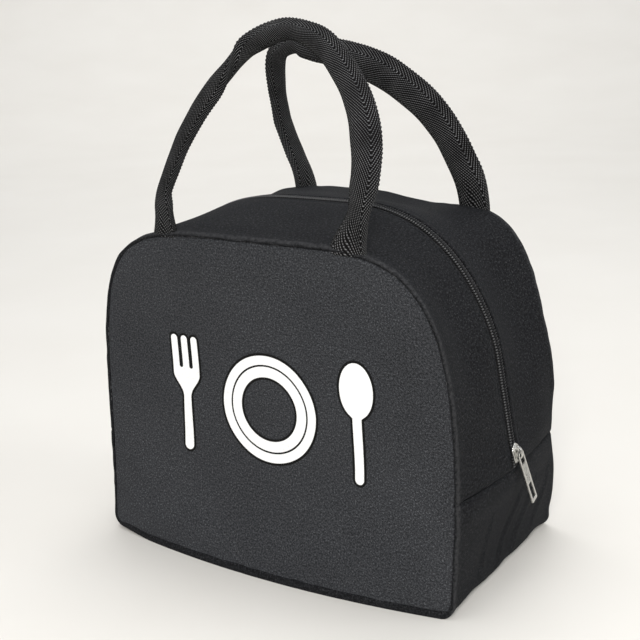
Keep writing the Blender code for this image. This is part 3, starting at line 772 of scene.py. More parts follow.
def corner_lift(points):
    """The base is slightly off the floor at its left front corner and wavy under its sides."""
    x, y, z = points[..., 0], points[..., 1], points[..., 2]
    left = 2.2 * MM * smooth((-x - 0.075) / 0.03) * smooth((-y - 0.02) / 0.03)
    waves = hump(y, -0.034, 0.016) + 0.8 * hump(y, 0.006, 0.012) + 1.2 * hump(y, 0.042, 0.014)
    under_side = 1.2 * MM * waves * smooth((np.abs(x) - 0.085) / 0.02)
    return np.maximum(left, under_side) * smooth((0.03 - z) / 0.03)


# Wrinkles low on the sides: (y at the base, slope towards the rear, height) of each soft ridge.
WRINKLES = [
    (-0.004, 0.62, 0.70 * MM), (0.014, 0.55, 0.60 * MM), (-0.026, 0.25, 0.45 * MM), (0.036, 0.50, 0.50 * MM),
]


def band_wrinkles(points, v):
    """Soft diagonal wrinkles low on the sides, rising from the base towards the side seam."""
    x, y, z = points[..., 0], points[..., 1], points[..., 2]
    on_side = smooth((np.abs(x) - 0.085) / 0.015)
    fade = smooth(z / 0.012) * smooth((0.050 - z) / 0.02) * smooth((1 - np.abs(v)) / 0.2)
    relief = np.zeros(z.shape)
    for start_y, slope, height in WRINKLES:
        across = y - start_y - slope * (z - 0.012)
        relief += height * np.exp(-((across / (2.4 * MM)) ** 2))
        relief -= 0.8 * height * np.exp(-(((across + 4.5 * MM) / (3.4 * MM)) ** 2))
    return relief * on_side * fade


def panel_edge(side):
    """The closed outline of a panel's seam, anticlockwise from the middle of the bottom."""
    right = climb(side, 1e-6, math.inf, np.linspace(0, 1, 260))
    floor = np.stack([np.linspace(0, right[0, 0], 46)[:-1], np.zeros(45)], axis=1)
    half = np.vstack([floor, right])
    return np.vstack([half, half[-2:0:-1] * (-1, 1)])


def drawn_in(edge, distance):
    """A closed anticlockwise outline moved inwards."""
    around = np.vstack([edge[-1:], edge, edge[:1]])
    along = np.gradient(around, axis=0)[1:-1]
    along /= np.linalg.norm(along, axis=1, keepdims=True)
    return edge + np.stack([-along[:, 1], along[:, 0]], axis=1) * distance


def rings_inside(seam, rings):
    """Rings of (x, z) points that shrink from a panel's seam to its middle."""
    return PANEL_MIDDLE + (seam[:, None, :] - PANEL_MIDDLE) * rings[None, :, None]


def panel(side, place):
    """A front or rear wall: rings that shrink from its seam to its middle."""
    seam = drawn_in(panel_edge(side), PANEL_INSET)
    seam[:, 1] = np.maximum(seam[:, 1], mix(*BOTTOM_SEAM_Z, smooth((seam[:, 0] - 0.015) / 0.08)))
    close = np.array([0, 0.25, 0.55, 0.9, 1.3, 1.8, 2.5, 3.4, 4.6, 6.2, 8.2, 10.5]) * MM / 0.1
    rings = np.concatenate([1 - close, np.linspace(1 - close[-1], 0.0, 44)[1:]])
    flat = rings_inside(seam, rings)
    tree = kdtree.KDTree(len(seam))
    for index, (x, z) in enumerate(seam):
        tree.insert((x, z, 0), index)
    tree.balance()
    distance = np.array([tree.find((x, z, 0))[2] for x, z in flat.reshape(-1, 2)]).reshape(flat.shape[:2])
    distance[:, 0] = 0
    x, z = flat[..., 0], flat[..., 1]
    points = np.stack([x, wall_y(side, x, z), z], axis=2)
    round_over = 1.9 * MM
    edge_share = np.clip(1 - distance / round_over, 0, 1)
    relief = -1.5 * MM * (1 - np.sqrt(1 - edge_share**2))
    relief = relief + 0.9 * MM * hump(distance, 14 * MM, 13 * MM)
    relief = relief + face_relief(points, side) * smooth(distance / (14 * MM))
    relief = relief + puckers(points, distance, 23 + side)
    outer = points + np.array([0, side, 0]) * relief[..., None]
    outer[..., 2] += corner_lift(outer)
    inner = outer + np.array([0, -side, 0]) * FABRIC
    if side > 0:
        outer, inner, flat = outer[::-1], inner[::-1], flat[::-1]
    obj = shell(f"{place}_panel_cloth", outer, inner, PANEL_CLOTH, flat, ring=True)
    weld(obj)
    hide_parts(f"fabric_{place}_panel", f"fabric_{place}_panel_lower")
    bend(obj)


def face_relief(points, side):
    """Slow waves and two shallow dents in the face of a panel."""
    x, z = points[..., 0], points[..., 2]
    relief = soft_waves(points, 5 + 2 * side)
    for middle_x, middle_z, wide, high in ((0.050, 0.055, 0.045, 0.025), (-0.060, 0.125, 0.050, 0.030)):
        relief = relief - 0.9 * MM * np.exp(-(((x - middle_x) / wide) ** 2 + ((z - middle_z) / high) ** 2))
    return relief


# --- Linings ---


# The insets keep each layer inside the seams.
Layer = namedtuple("Layer", "kind piece slot depth thickness material crinkle panel_inset strip_inset")
LAYERS = (
    Layer("foam", "foam", "epe_foam", FOAM_DEPTH, FOAM, FOAM_SHEET, 0, 4.6 * MM, 6.2 * MM),
    Layer("foil", "lining", "foil_lining", FOIL_DEPTH, FOIL, FOIL_FILM, 0.35 * MM, 8.2 * MM, 9.4 * MM),
)
CRINKLE_SIZE = 0.011


def flat_strip(columns, path_at, depth, thickness, crinkle=0, seed=0, hollow=False):
    """A plain layer of a strip at some depth below the cloth: its outer and inner grids."""
    base, _, normals = strip([(v, 0.0) for v in columns], path_at)
    height = np.full(base.shape[:2], -depth)
    if hollow:
        height += gusset_hollow(base, np.array(columns)[None, :])
    if crinkle:
        height -= crinkle * np.abs(noise_at(base, CRINKLE_SIZE, seed))
    outer = base + normals * height[..., None]
    return outer, outer - normals * thickness


def finish_layer(obj, layer, *nodes):
    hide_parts(*nodes)


def layer_gusset(side, place, layer):
    shares = np.linspace(0, 1, 62)
    low, high = 15.5 * MM / WAIST_HALF_DEPTH, 1 - layer.strip_inset / WAIST_HALF_DEPTH
    outer, inner = flat_strip(
        sorted(np.linspace(low, high, 16) * side), lambda v: over_top(v, shares),
        layer.depth, layer.thickness, layer.crinkle, 41 + side, hollow=True,
    )
    obj = shell(f"{place}_gusset_{layer.piece}", outer, inner, layer.material, cut_coordinates(outer))
    finish_layer(obj, layer, f"{layer.kind}_{place}_gusset")
    bend(obj)


def layer_panel(side, place, layer):
    seam = drawn_in(panel_edge(side)[::3], layer.panel_inset)
    seam[:, 1] = np.maximum(seam[:, 1], layer.panel_inset)
    flat = rings_inside(seam, np.linspace(1, 0, 36))
    x, z = flat[..., 0], flat[..., 1]
    points = np.stack([x, wall_y(side, x, z) - side * layer.depth, z], axis=2)
    if layer.crinkle:
        points[..., 1] -= side * np.abs(noise_at(points, CRINKLE_SIZE, 47 + side)) * layer.crinkle
    inner = points + np.array([0, -side, 0]) * layer.thickness
    if side > 0:
        points, inner, flat = points[::-1], inner[::-1], flat[::-1]
    obj = shell(f"{place}_panel_{layer.piece}", points, inner, layer.material, flat, ring=True)
    weld(obj)
    finish_layer(obj, layer, f"{layer.kind}_{place}_panel", f"{layer.kind}_{place}_panel_lower")
    bend(obj)


def layer_band(layer):
    shares = np.linspace(0, 1, 20)
    floor_shares = np.linspace(0, 1, 48)[1:-1]
    limit = 1 - layer.strip_inset / WAIST_HALF_DEPTH
    outer, inner = flat_strip(
        np.linspace(-limit, limit, 30), lambda v: under_base(v, shares, floor_shares),
        layer.depth, layer.thickness, layer.crinkle, 53,
    )
    obj = shell(f"base_{layer.piece}", outer, inner, layer.material, cut_coordinates(outer))
    finish_layer(obj, layer, f"{layer.kind}_band")
    settle(obj)
    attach(obj, "bag_base")


def build_linings():
    for layer in LAYERS:
        for side, place in SIDES:
            layer_gusset(side, place, layer)
            layer_panel(side, place, layer)
        layer_band(layer)


# --- Zip ---


def zip_tape(side, place):
    shares = np.linspace(0, 1, 110)
    columns = sorted(np.linspace(0.35 * MM, TAPE_HALF, 15) / WAIST_HALF_DEPTH * side)
    outer, inner = flat_strip(columns, lambda v: over_top(v, shares), TAPE_DEPTH, TAPE, hollow=True)
    obj = shell(f"{place}_zip_tape", outer, inner, ZIP_TAPE, cut_coordinates(outer))
    ends = [f"zip_tape_{place}_{hand}_end" for hand in ("right", "left")]
    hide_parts(f"zip_tape_{place}", *ends)
    bend(obj)


def capsule(length, width, height, sections=7, sides=8):
    """Points and faces of a rounded bar along +X from 0 to its length, flat underneath."""
    points = []
    for share in np.linspace(0, 1, sections):
        size = max(0.25, math.sqrt(max(0.0, 1 - (2 * share - 1) ** 4)))
        for k in range(sides):
            turn = 2 * math.pi * (k + 0.5) / sides
            lift = math.sin(turn) * size
            lift = lift if lift > 0 else 0.45 * lift
            points.append((length * share, width / 2 * math.cos(turn) * size, height * lift))
    return np.array(points), tube_faces(sections, sides)


def joined(copies):
    """One mesh from many (points, faces) pairs."""
    points = []
    faces = []
    start = 0
    for own_points, own_faces in copies:
        points.append(own_points)
        faces += [[start + k for k in face] for face in own_faces]
        start += len(own_points)
    return np.concatenate(points), faces


def zip_line(v, places):
    """Points, directions and outward normals along the zip at v, at these lengths from the right seam."""
    path = over_top(v, np.linspace(0, 1, 900))
    length = np.linalg.norm(np.diff(path, axis=0), axis=1).sum()
    found = resample(path, places / length)
    ahead = resample(path, np.minimum(1, (places + 0.4 * MM) / length))
    behind = resample(path, np.maximum(0, (places - 0.4 * MM) / length))
    along = ahead - behind
    along /= np.linalg.norm(along, axis=1, keepdims=True)
    return found, along, np.stack([along[:, 1], -along[:, 0]], axis=1)


def zip_length():
    path = over_top(0.0, np.linspace(0, 1, 900))
    return np.linalg.norm(np.diff(path, axis=0), axis=1).sum()


# The length, width and height of the sewing thread seen over each turn, in mm
KNOT_SIZES = {"front": (1.15, 0.95, 0.66), "rear": (0.85, 0.80, 0.42)}


def zip_coil(side, place):
    """One row of coil turns on its tape, interleaved with the other row."""
    start = 1.0 * MM
    count = int((zip_length() - 2 * start) / COIL_PITCH)
    places = start + COIL_PITCH * (np.arange(count) + (0.25 if side < 0 else 0.75))
    spots, along, outs = zip_line(0.0, places)
    turn_points, turn_faces = capsule(COIL_HALF - 0.15 * MM, 1.0 * MM, 0.85 * MM)
    bead_length, bead_width, bead_height = (size * MM for size in KNOT_SIZES[place])
    bead_points, bead_faces = capsule(bead_length, bead_width, bead_height)
    copies = []
    beads = []
    for (x, z), (ax, az), (ox, oz) in zip(spots, along, outs):
        across = np.array([0, side, 0])
        forward = np.array([ax, 0, az])
        out = np.array([ox, 0, oz])
        origin = np.array([x, side * 0.12 * MM, z]) - out * 0.55 * MM
        tilted = across + forward * 0.16
        copies.append((origin + turn_points @ np.array([tilted, forward * side, out]), turn_faces))
        knot = origin + tilted * 1.35 * MM + out * 0.50 * MM
        beads.append((knot + bead_points @ np.array([across, forward * side, out]), bead_faces))
    # Thread knots coloured lighter than the nylon: real thread with a painted highlight on the coil turns.
    knots = new_object(f"{place}_zip_coil_thread_highlight", *joined(beads), KNOT_THREADS_LIT_AND_SHADED[place])
    weld(knots)
    bend(knots)
    obj = new_object(f"{place}_zip_coil", *joined(copies), NYLON)
    weld(obj)
    ends = [f"zip_coil_{place}_{hand}_end" for hand in ("right", "left")]
    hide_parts(f"zip_coil_{place}", *ends)
    bend(obj)


# --- Stitches ---


STITCH_SPACING = 3.3 * MM
STITCH_INSET = 1.0 * MM
STITCH_DEPTH = 0.75 * MM


def at_lengths(rows, along, place):
    """The row at this length, between the rows given at the lengths `along`."""
    return np.array([np.interp(place, along, rows[:, k]) for k in range(3)])


def stitches(name, points, outs, spacing, seed):
    """Short threads along a seam line, some missing and some loose, as one piece."""
    chance = np.random.default_rng(seed)
    along = np.concatenate([[0], np.cumsum(np.linalg.norm(np.diff(points, axis=0), axis=1))])
    copies = []
    for place in np.arange(1.5 * MM, along[-1] - 3 * MM, spacing):
        if chance.random() < 0.12:
            continue
        place = place + chance.uniform(-0.4, 0.4) * MM
        length = chance.uniform(1.5, 2.4) * MM
        start, stop = (at_lengths(points, along, where) for where in (place, place + length))
        out = at_lengths(outs, along, place)
        ahead = (stop - start) / np.linalg.norm(stop - start) + out * chance.uniform(-0.10, 0.10)
        across = np.cross(out, ahead)
        local, faces = capsule(length, 0.46 * MM, 0.34 * MM)
        sideways = across * chance.uniform(-0.15, 0.15) * MM
        copies.append((start + sideways + local @ np.array([ahead, across, out]), faces))
    obj = new_object(name, *joined(copies), THREAD)
    weld(obj)
    bend(obj)


def seam_stitches(side, place):
    """Stitches in the groove round a panel, above the side seams."""
    edge = panel_edge(side)
    edge = edge[edge[:, 1] > SEAM_Z + 2 * MM]
    out_x, out_z = path_normals(edge).T
    x, z = edge[:, 0] - out_x * STITCH_INSET, edge[:, 1] - out_z * STITCH_INSET
    points = np.stack([x, wall_y(side, x, z) - side * STITCH_DEPTH, z], axis=1)
    outs = np.stack([0.3 * out_x, np.full(len(x), side * 1.0), 0.3 * out_z], axis=1)
    stitches(f"{place}_seam_stitches", points, outs, STITCH_SPACING, 71 + side)


# --- Handles ---

# The routes are the CAD's: (sideways, along the handle) from the middle of the seam that holds it.
FRONT_ROUTE = [
    (-0.0545, 0.000), (-0.0570, 0.018), (-0.0550, 0.036), (-0.0495, 0.058), (-0.0385, 0.083),
    (-0.0210, 0.102), (0.0000, 0.109), (0.0200, 0.102), (0.0385, 0.085), (0.0520, 0.064),
    (0.0590, 0.042), (0.0605, 0.020), (0.0575, 0.000),
]
REAR_ROUTE = [
    (-0.0510, 0.000), (-0.0535, 0.020), (-0.0580, 0.040), (-0.0600, 0.060), (-0.0565, 0.078),
    (-0.0440, 0.088), (-0.0250, 0.086), (-0.0050, 0.081), (0.0150, 0.073), (0.0320, 0.060),
    (0.0460, 0.043), (0.0555, 0.022), (0.0600, 0.000),
]
LEAN_SETTLE = 0.015
ROOT_DEPTH = 2.6 * MM
HANDLE_RINGS = 760
HANDLE_SIDES = 72
SERRATION_PITCH = 1.9 * MM
# How sharp a kink is and how far it reaches, as shares of the handle's length
KINK_ROUND = 0.007
KINK_REACH = 0.026


def spline_through(route, count):
    """Points along a smooth curve through the route that leaves both ends upright."""
    knots = np.array(route)
    along = np.concatenate([[0], np.cumsum(np.linalg.norm(np.diff(knots, axis=0), axis=1))])
    slopes = np.gradient(knots, along, axis=0)
    slopes[0] = (0, 1)
    slopes[-1] = (0, -1)
    places = np.linspace(0, along[-1], count)
    k = np.minimum(np.searchsorted(along, places, side="right") - 1, len(along) - 2)
    span = (along[k + 1] - along[k])[:, None]
    t = (places - along[k])[:, None] / span
    start, stop = knots[k], knots[k + 1]
    line = (2 * t**3 - 3 * t**2 + 1) * start + (t**3 - 2 * t**2 + t) * span * slopes[k]
    line += (3 * t**2 - 2 * t**3) * stop + (t**3 - t**2) * span * slopes[k + 1]
    return line, places


def keyed(places, keys):
    """Smooth values between (place, value) keys."""
    found = np.full(len(places), float(keys[0][1]))
    for (start, low), (stop, high) in zip(keys, keys[1:]):
        between = mix(low, high, smooth((places - start) / (stop - start)))
        found = np.where(places >= start, between, found)
    return found


def strap_profile():
    """A folded strap's section, (towards the fin, sideways), for a half width and half thickness of 1."""
    turn = np.linspace(-math.pi, math.pi, HANDLE_SIDES, endpoint=False) + math.pi / HANDLE_SIDES
    near_fin = np.exp(-((turn / 0.42) ** 2))
    reach = np.cos(turn) + 0.30 * near_fin
    side = np.sin(turn) * (1 - 0.55 * np.exp(-((np.abs(turn) - 0.30) / 0.42) ** 2))
    return turn, reach, side, near_fin


def top_line(side):
    """Half widths and heights of the seam line over a panel, from its middle outwards."""
    path = outline(side)
    return path[::-1, 0], path[::-1, 1]


def handle_centres(name, side, route, lean):
    """The line through a handle's middle, with its ends sunk into the seam and settled with it."""
    line, places = spline_through(route, HANDLE_RINGS)
    arch = FRONT_ARCH if side < 0 else REAR_ARCH
    y_base = wall_y(side, route[-1][0], arch[3]) - side * 2 * MM
    reach = line[:, 1] ** 2 / (line[:, 1] + LEAN_SETTLE)
    from_end = np.minimum(places, places[-1] - places)
    drop = ROOT_DEPTH + arch[3] - np.interp(np.abs(line[:, 0]), *top_line(side))
    sink = drop * np.exp(-((from_end / (9 * MM)) ** 2))
    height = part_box(name)[0].z + line[:, 1] * math.cos(lean) - sink
    centres = np.stack([line[:, 0], y_base + math.sin(lean) * reach, height], axis=1)
    hold = np.exp(-((from_end / (22 * MM)) ** 2))[:, None]
    return mix(centres, settled(centres), hold), places, from_end


def handle(name, side, route, lean, width_keys, thick_keys, fin_keys, sways, kinks):
    """A webbing strap folded lengthwise and sewn into a tube, flat where its ends enter the seam.

    The keys are (share of the length, value). Sways are (share, push outwards, how far it reaches) and
    kinks are (share, push outwards).
    """
    centres, places, from_end = handle_centres(name, side, route, lean)
    share = places / places[-1]
    tangents = np.gradient(centres, axis=0)
    tangents[0] = (0, 0, 1)
    tangents[-1] = (0, 0, -1)
    tangents /= np.linalg.norm(tangents, axis=1, keepdims=True)
    outwards = np.cross(tangents, (0, 1, 0))
    outwards /= np.linalg.norm(outwards, axis=1, keepdims=True)
    through = np.cross(tangents, outwards)
    for middle, push, spread in sways:
        centres += outwards * (push * np.exp(-(((share - middle) / spread) ** 2)))[:, None]
    for middle, push in kinks:
        distance = np.sqrt((share - middle) ** 2 + KINK_ROUND**2)
        centres += outwards * (push * np.exp((KINK_ROUND - distance) / KINK_REACH))[:, None]
    half_width = keyed(share, width_keys)[:, None] / 2
    half_thick = keyed(share, thick_keys)[:, None] / 2
    fin = np.radians(keyed(share, fin_keys))[:, None, None]
    towards_fin = outwards[:, None, :] * np.cos(fin) + through[:, None, :] * np.sin(fin)
    beside_fin = np.cross(tangents[:, None, :], towards_fin)
    turn, profile_reach, profile_side, near_fin = strap_profile()
    tube = smooth((from_end - 4 * MM) / (16 * MM))[:, None]
    flat_reach = np.sign(np.cos(turn)) * np.abs(np.cos(turn)) ** 0.75
    reach = half_width * mix(flat_reach, profile_reach, tube)
    beside = half_thick * mix(np.sin(turn), profile_side, tube)
    across, along = np.meshgrid(turn / (2 * math.pi) * STRAP_CUT + STRAP_CUT / 2, places)
    column = np.abs((across + STRAP_CUT / 8) % (STRAP_CUT / 2) - STRAP_CUT / 4)
    rib = 0.5 + 0.5 * np.sin(2 * math.pi * (along + RIB_SLOPE * column) / RIB_PITCH)
    serrated = 0.5 + 0.5 * np.sin(2 * math.pi * along / SERRATION_PITCH)
    lumpy = noise_at(np.stack([along, across, np.zeros_like(along)], axis=2), 0.013, 61 + side)
    relief = 0.16 * MM * rib + 0.22 * MM * lumpy + 0.42 * MM * serrated * near_fin * tube
    grow = 1 + relief / (np.sqrt(reach**2 + beside**2) + 1e-9)
    rings = centres[:, None, :] + towards_fin * (reach * grow)[..., None]
    rings = rings + beside_fin * (beside * grow)[..., None]
    faces = tube_faces(HANDLE_RINGS, HANDLE_SIDES)
    uv = np.stack([column, along], axis=2).reshape(-1, 2)
    obj = new_object(name + "_webbing", rings.reshape(-1, 3), faces, WEBBING, uv)
    weld(obj)
    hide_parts(name)
    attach(obj, name)


def build_handles():
    handle(
        "front_handle", -1, FRONT_ROUTE, math.radians(25),
        width_keys=[
            (0, 16 * MM), (0.045, 10.5 * MM), (0.08, 7.6 * MM), (0.30, 9.6 * MM), (0.40, 10.2 * MM),
            (0.50, 9.4 * MM), (0.62, 12.5 * MM), (0.80, 14.8 * MM), (0.88, 13.2 * MM), (0.935, 9.8 * MM),
            (1, 20 * MM),
        ],
        thick_keys=[
            (0, 3.6 * MM), (0.05, 6.4 * MM), (0.10, 7.6 * MM), (0.50, 8.2 * MM), (0.90, 9.0 * MM),
            (0.95, 7.0 * MM), (1, 3.6 * MM),
        ],
        fin_keys=[(0, 180), (0.28, 180), (0.46, 0), (1, 0)],
        sways=[
            (0.42, -2.5 * MM, 0.19), (0.32, -1.3 * MM, 0.09), (0.92, -0.8 * MM, 0.05), (1, -1.6 * MM, 0.03),
        ],
        kinks=[(0.075, 1.0 * MM), (0.395, 0.8 * MM)],
    )
    handle(
        "rear_handle", 1, REAR_ROUTE, math.radians(-8),
        width_keys=[
            (0, 17 * MM), (0.07, 12 * MM), (0.35, 9.6 * MM), (0.42, 11.5 * MM), (0.66, 16.6 * MM),
            (0.90, 15.6 * MM), (1, 18 * MM),
        ],
        thick_keys=[(0, 3.6 * MM), (0.06, 7.4 * MM), (0.5, 8.6 * MM), (0.93, 8.6 * MM), (1, 3.6 * MM)],
        fin_keys=[(0, 80), (0.20, 80), (0.42, 0), (1, 0)],
        sways=[
            (0.60, -6.6 * MM, 0.24), (0.42, -3.2 * MM, 0.08), (0, -4.5 * MM, 0.065), (0.99, 3.8 * MM, 0.06),
        ],
        kinks=[(0.165, 0.6 * MM), (0.330, 1.6 * MM)],
    )


# --- Slider and pull tab ---

SLIDER_Z = 0.0665
SLIDER_LENGTH = 10.5 * MM
SLIDER_WIDTH = 7.8 * MM
PULL_AXIS_OUT = 3.3 * MM
PULL_LENGTH = 30.5 * MM
PULL_WIDTH = 6 * MM
PULL_TILT = math.radians(16.5)
PULL_RIBS = 15
PULL_RIB_PITCH = 0.72 * MM


def zip_place():
    """The zip's straight stretch on the right: X outwards, Y to the rear, Z up along the zip."""
    x = float(arch_half_width(ZIP_ARCH, SLIDER_Z))
    return Matrix.Translation((x, 0, SLIDER_Z)) @ Matrix.Rotation(-math.atan(ZIP_ARCH[1]), 4, "Y")


def mirrored(right, top=()):
    """A closed outline from its right half, given upwards, and the points between the halves at the top."""
    left = [(-across, up) for across, up in right[::-1]]
    return [left[-1], *right, *top, *left[:-1]]


def rectangle(half_width, low, high, radius):
    return rounded(mirrored([(half_width, low), (half_width, high)]), radius)


def rounded(points, radius, steps=5):
    """A closed outline with its corners rounded."""
    points = np.asarray(points, float)
    found = []
    for before, corner, after in zip(np.roll(points, 1, axis=0), points, np.roll(points, -1, axis=0)):
        to_before = (before - corner) / np.linalg.norm(before - corner)
        to_after = (after - corner) / np.linalg.norm(after - corner)
        half_angle = math.acos(np.clip(to_before @ to_after, -1, 1)) / 2
        length = min(
            radius / math.tan(half_angle),
            np.linalg.norm(before - corner) * 0.48,
            np.linalg.norm(after - corner) * 0.48,
        )
        start, stop = corner + to_before * length, corner + to_after * length
        for t in np.linspace(0, 1, steps):
            found.append((1 - t) ** 2 * start + 2 * t * (1 - t) * corner + t * t * stop)
    return np.array(found)


def extruded(name, outline_yz, holes, x_low, x_high, bevel, place):
    """A bevelled nickel plate with holes, made from a filled curve."""
    curve = filled_curve(name, [outline_yz, *holes])
    curve.extrude = (x_high - x_low) / 2 - bevel
    curve.bevel_depth = bevel
    curve.bevel_resolution = 2
    curve.offset = -bevel
    mesh = curve_mesh(curve)
    turn = Matrix(((0, 0, 1, (x_low + x_high) / 2), (1, 0, 0, 0), (0, 1, 0, 0), (0, 0, 0, 1)))
    mesh.transform(place @ turn)
    mesh.materials.clear()
    mesh.materials.append(NICKEL)
    mesh.shade_smooth()
    mesh.set_sharp_from_angle(angle=math.radians(50))
    obj = placed(name, mesh)
    weld(obj)
    return obj


def join(objects, name):
    """One object from several."""
    with bpy.context.temp_override(active_object=objects[0], selected_editable_objects=objects):
        bpy.ops.object.join()
    objects[0].name = name
    return objects[0]


def oval_bar(name, path, half_y, half_other, place, sides=12):
    """A nickel bar of oval section along a path of (x, z) points, in a frame where it lies at y = 0."""
    along = np.gradient(path, axis=0)
    along /= np.linalg.norm(along, axis=1, keepdims=True)
    points = []
    for (x, z), (along_x, along_z) in zip(path, along):
        for turn in np.linspace(0, 2 * math.pi, sides, endpoint=False):
            offset = half_other * math.sin(turn)
            point = (x + along_z * offset, half_y * math.cos(turn), z - along_x * offset)
            points.append(tuple(place @ Vector(point)))
    obj = new_object(name, points, tube_faces(len(path), sides), NICKEL)
    weld(obj)
    return obj


def build_slider():
    """Cast slider: a domed shield with a web down to a bottom plate, and a loop for the pull tab."""
    place = zip_place()
    wide, long = SLIDER_WIDTH / 2, SLIDER_LENGTH / 2
    edge = [(0.62, -1), (0.80, -0.25), (1, 0.25), (0.78, 0.62)]
    right = [(wide * across, long * up) for across, up in edge]
    outline_yz = rounded(mirrored(right, top=[(0.0, long)]), 0.9 * MM)
    post = rectangle(0.2 * MM, 0.3 * MM, 4.3 * MM, 0.1 * MM)
    plates = [
        extruded(name, outline, [], low * MM, high * MM, bevel * MM, place)
        for name, outline, low, high, bevel in (
            ("slider_top", outline_yz, 0.55, 1.55, 0.32),
            ("slider_dome", outline_yz * (0.62, 0.80), 1.40, 1.95, 0.26),
            ("slider_bottom", outline_yz, -3.0, -2.2, 0.2),
            ("slider_web", post, -2.4, 0.8, 0.02),
        )
    ]
    turn = np.linspace(0, math.pi, 24)
    loop = np.stack([1.2 + 3.35 * np.sin(turn) ** 0.62, -0.2 - 3.3 * np.cos(turn)], axis=1) * MM
    bail = oval_bar("slider_bail", loop, 0.85 * MM, 0.42 * MM, place)
    obj = join([*plates, bail], "zip_slider_cast")
    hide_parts("zip_slider")
    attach(obj, "zip_slider")


def build_pull():
    """Stamped tab: a slot for the bail, a knurled grip and an open window."""
    place = zip_place() @ Matrix.Translation((PULL_AXIS_OUT, 0, 0)) @ Matrix.Rotation(PULL_TILT, 4, "X")
    half = PULL_WIDTH / 2
    top = 0.5 * MM
    end = top - PULL_LENGTH
    body = rounded(mirrored([(half, end), (half, top - 1.6 * MM), (half * 0.62, top)]), 0.5 * MM)
    slot = rectangle(half - 1.15 * MM, -7.0 * MM, -0.65 * MM, 0.5 * MM)
    window = rectangle(half - 1.15 * MM, end + 1.9 * MM, -19.0 * MM, 0.25 * MM)
    pieces = [extruded("pull_tab", body, [slot, window], -0.5 * MM, 0.5 * MM, 0.16 * MM, place)]
    for x_low, x_high in ((-0.62 * MM, -0.40 * MM), (0.40 * MM, 0.62 * MM)):
        for row in range(PULL_RIBS):
            middle = -7.9 * MM - row * PULL_RIB_PITCH
            rib = rectangle(half - 1.2 * MM, middle - 0.17 * MM, middle + 0.17 * MM, 0.1 * MM)
            pieces.append(extruded(f"pull_rib_{row}", rib, [], x_low, x_high, 0.06 * MM, place))
    obj = join(pieces, "zip_pull_tab")
    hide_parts("zip_pull")
    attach(obj, "zip_pull")


# --- Printed motif ---

PRINT_LOW_Z = 0.0575
PRINT_HIGH_Z = 0.1215
FORK_X = -0.051
SPOON_X = 0.056
PLATE_X = 0.0025
PLATE_Z = 0.0885
PLATE_OUTER = 0.0290
PLATE_INNER = 0.0175
INK_BORDER = 1.35 * MM
STEM_HALF = 3.0 * MM
# The ink is cut into squares of this size so that it can follow the cloth
INK_GRID = 2.5 * MM


def half_turn(x, z, radius, over):
    """A half circle from left to right of (x, z): over it, or under it."""
    turn = np.linspace(math.pi, 0, 11)
    rise = 1 if over else -1
    return [(x + radius * math.cos(angle), z + rise * radius * math.sin(angle)) for angle in turn]


def fork_outline():
    tine_half, pitch, slot_z, head_half = 2.1 * MM, 6.7 * MM, 0.1045, 8.8 * MM
    neck_z, neck_height = 0.087, 0.013
    stem_low = PRINT_LOW_Z + STEM_HALF
    line = [(FORK_X + STEM_HALF, stem_low)]
    rise = np.linspace(0, 1, 16)
    neck_half = mix(STEM_HALF * 0.8, head_half, smooth(rise) ** 1.2)
    right = np.stack([FORK_X + neck_half, neck_z + neck_height * rise], axis=1)
    line += [tuple(point) for point in right]
    tip_z = PRINT_HIGH_Z - tine_half
    slot_half = (pitch - 2 * tine_half) / 2
    for tine in (1, 0, -1):
        line += half_turn(FORK_X + tine * pitch, tip_z, tine_half, True)[::-1]
        if tine > -1:
            line += half_turn(FORK_X + (tine - 0.5) * pitch, slot_z, slot_half, False)[::-1]
    line += [(2 * FORK_X - x, z) for x, z in right[::-1]]
    line += half_turn(FORK_X, stem_low, STEM_HALF, False)
    return np.array(line)


def spoon_outline():
    bowl_half, bowl_height, blend_height = 9.6 * MM, 28.5 * MM, 4 * MM
    reach = bowl_height / 2
    middle = PRINT_HIGH_Z - reach
    stem_low = PRINT_LOW_Z + STEM_HALF
    from_top = (bowl_height + blend_height) * np.linspace(1, 0, 50) ** 1.5
    stem_z = np.linspace(stem_low, PRINT_HIGH_Z - from_top[0], 8)
    z = np.concatenate([stem_z, PRINT_HIGH_Z - from_top[1:]])
    oval = bowl_half * np.sqrt(np.clip(1 - ((z - middle) / reach) ** 2, 0, 1))
    stem = STEM_HALF * np.clip((middle - z) / reach + 0.35, 0, 0.85)
    half = (oval**3 + stem**3) ** (1 / 3)
    half[-1] = 0
    right = [(SPOON_X + w, height) for w, height in zip(half, z)]
    left = [(SPOON_X - w, height) for w, height in zip(half[-2::-1], z[-2::-1])]
    return np.array(right + left + half_turn(SPOON_X, stem_low, STEM_HALF * 0.85, False)[1:-1])


def circle(radius, count=96):
    turn = np.linspace(0, 2 * math.pi, count, endpoint=False)
    return np.stack([PLATE_X + radius * np.cos(turn), PLATE_Z + radius * np.sin(turn)], axis=1)


def grown(line, amount):
    """A closed outline, anticlockwise, moved outwards."""
    ahead = np.roll(line, -1, axis=0) - np.roll(line, 1, axis=0)
    ahead /= np.linalg.norm(ahead, axis=1, keepdims=True) + 1e-12
    return line + np.stack([ahead[:, 1], -ahead[:, 0]], axis=1) * amount


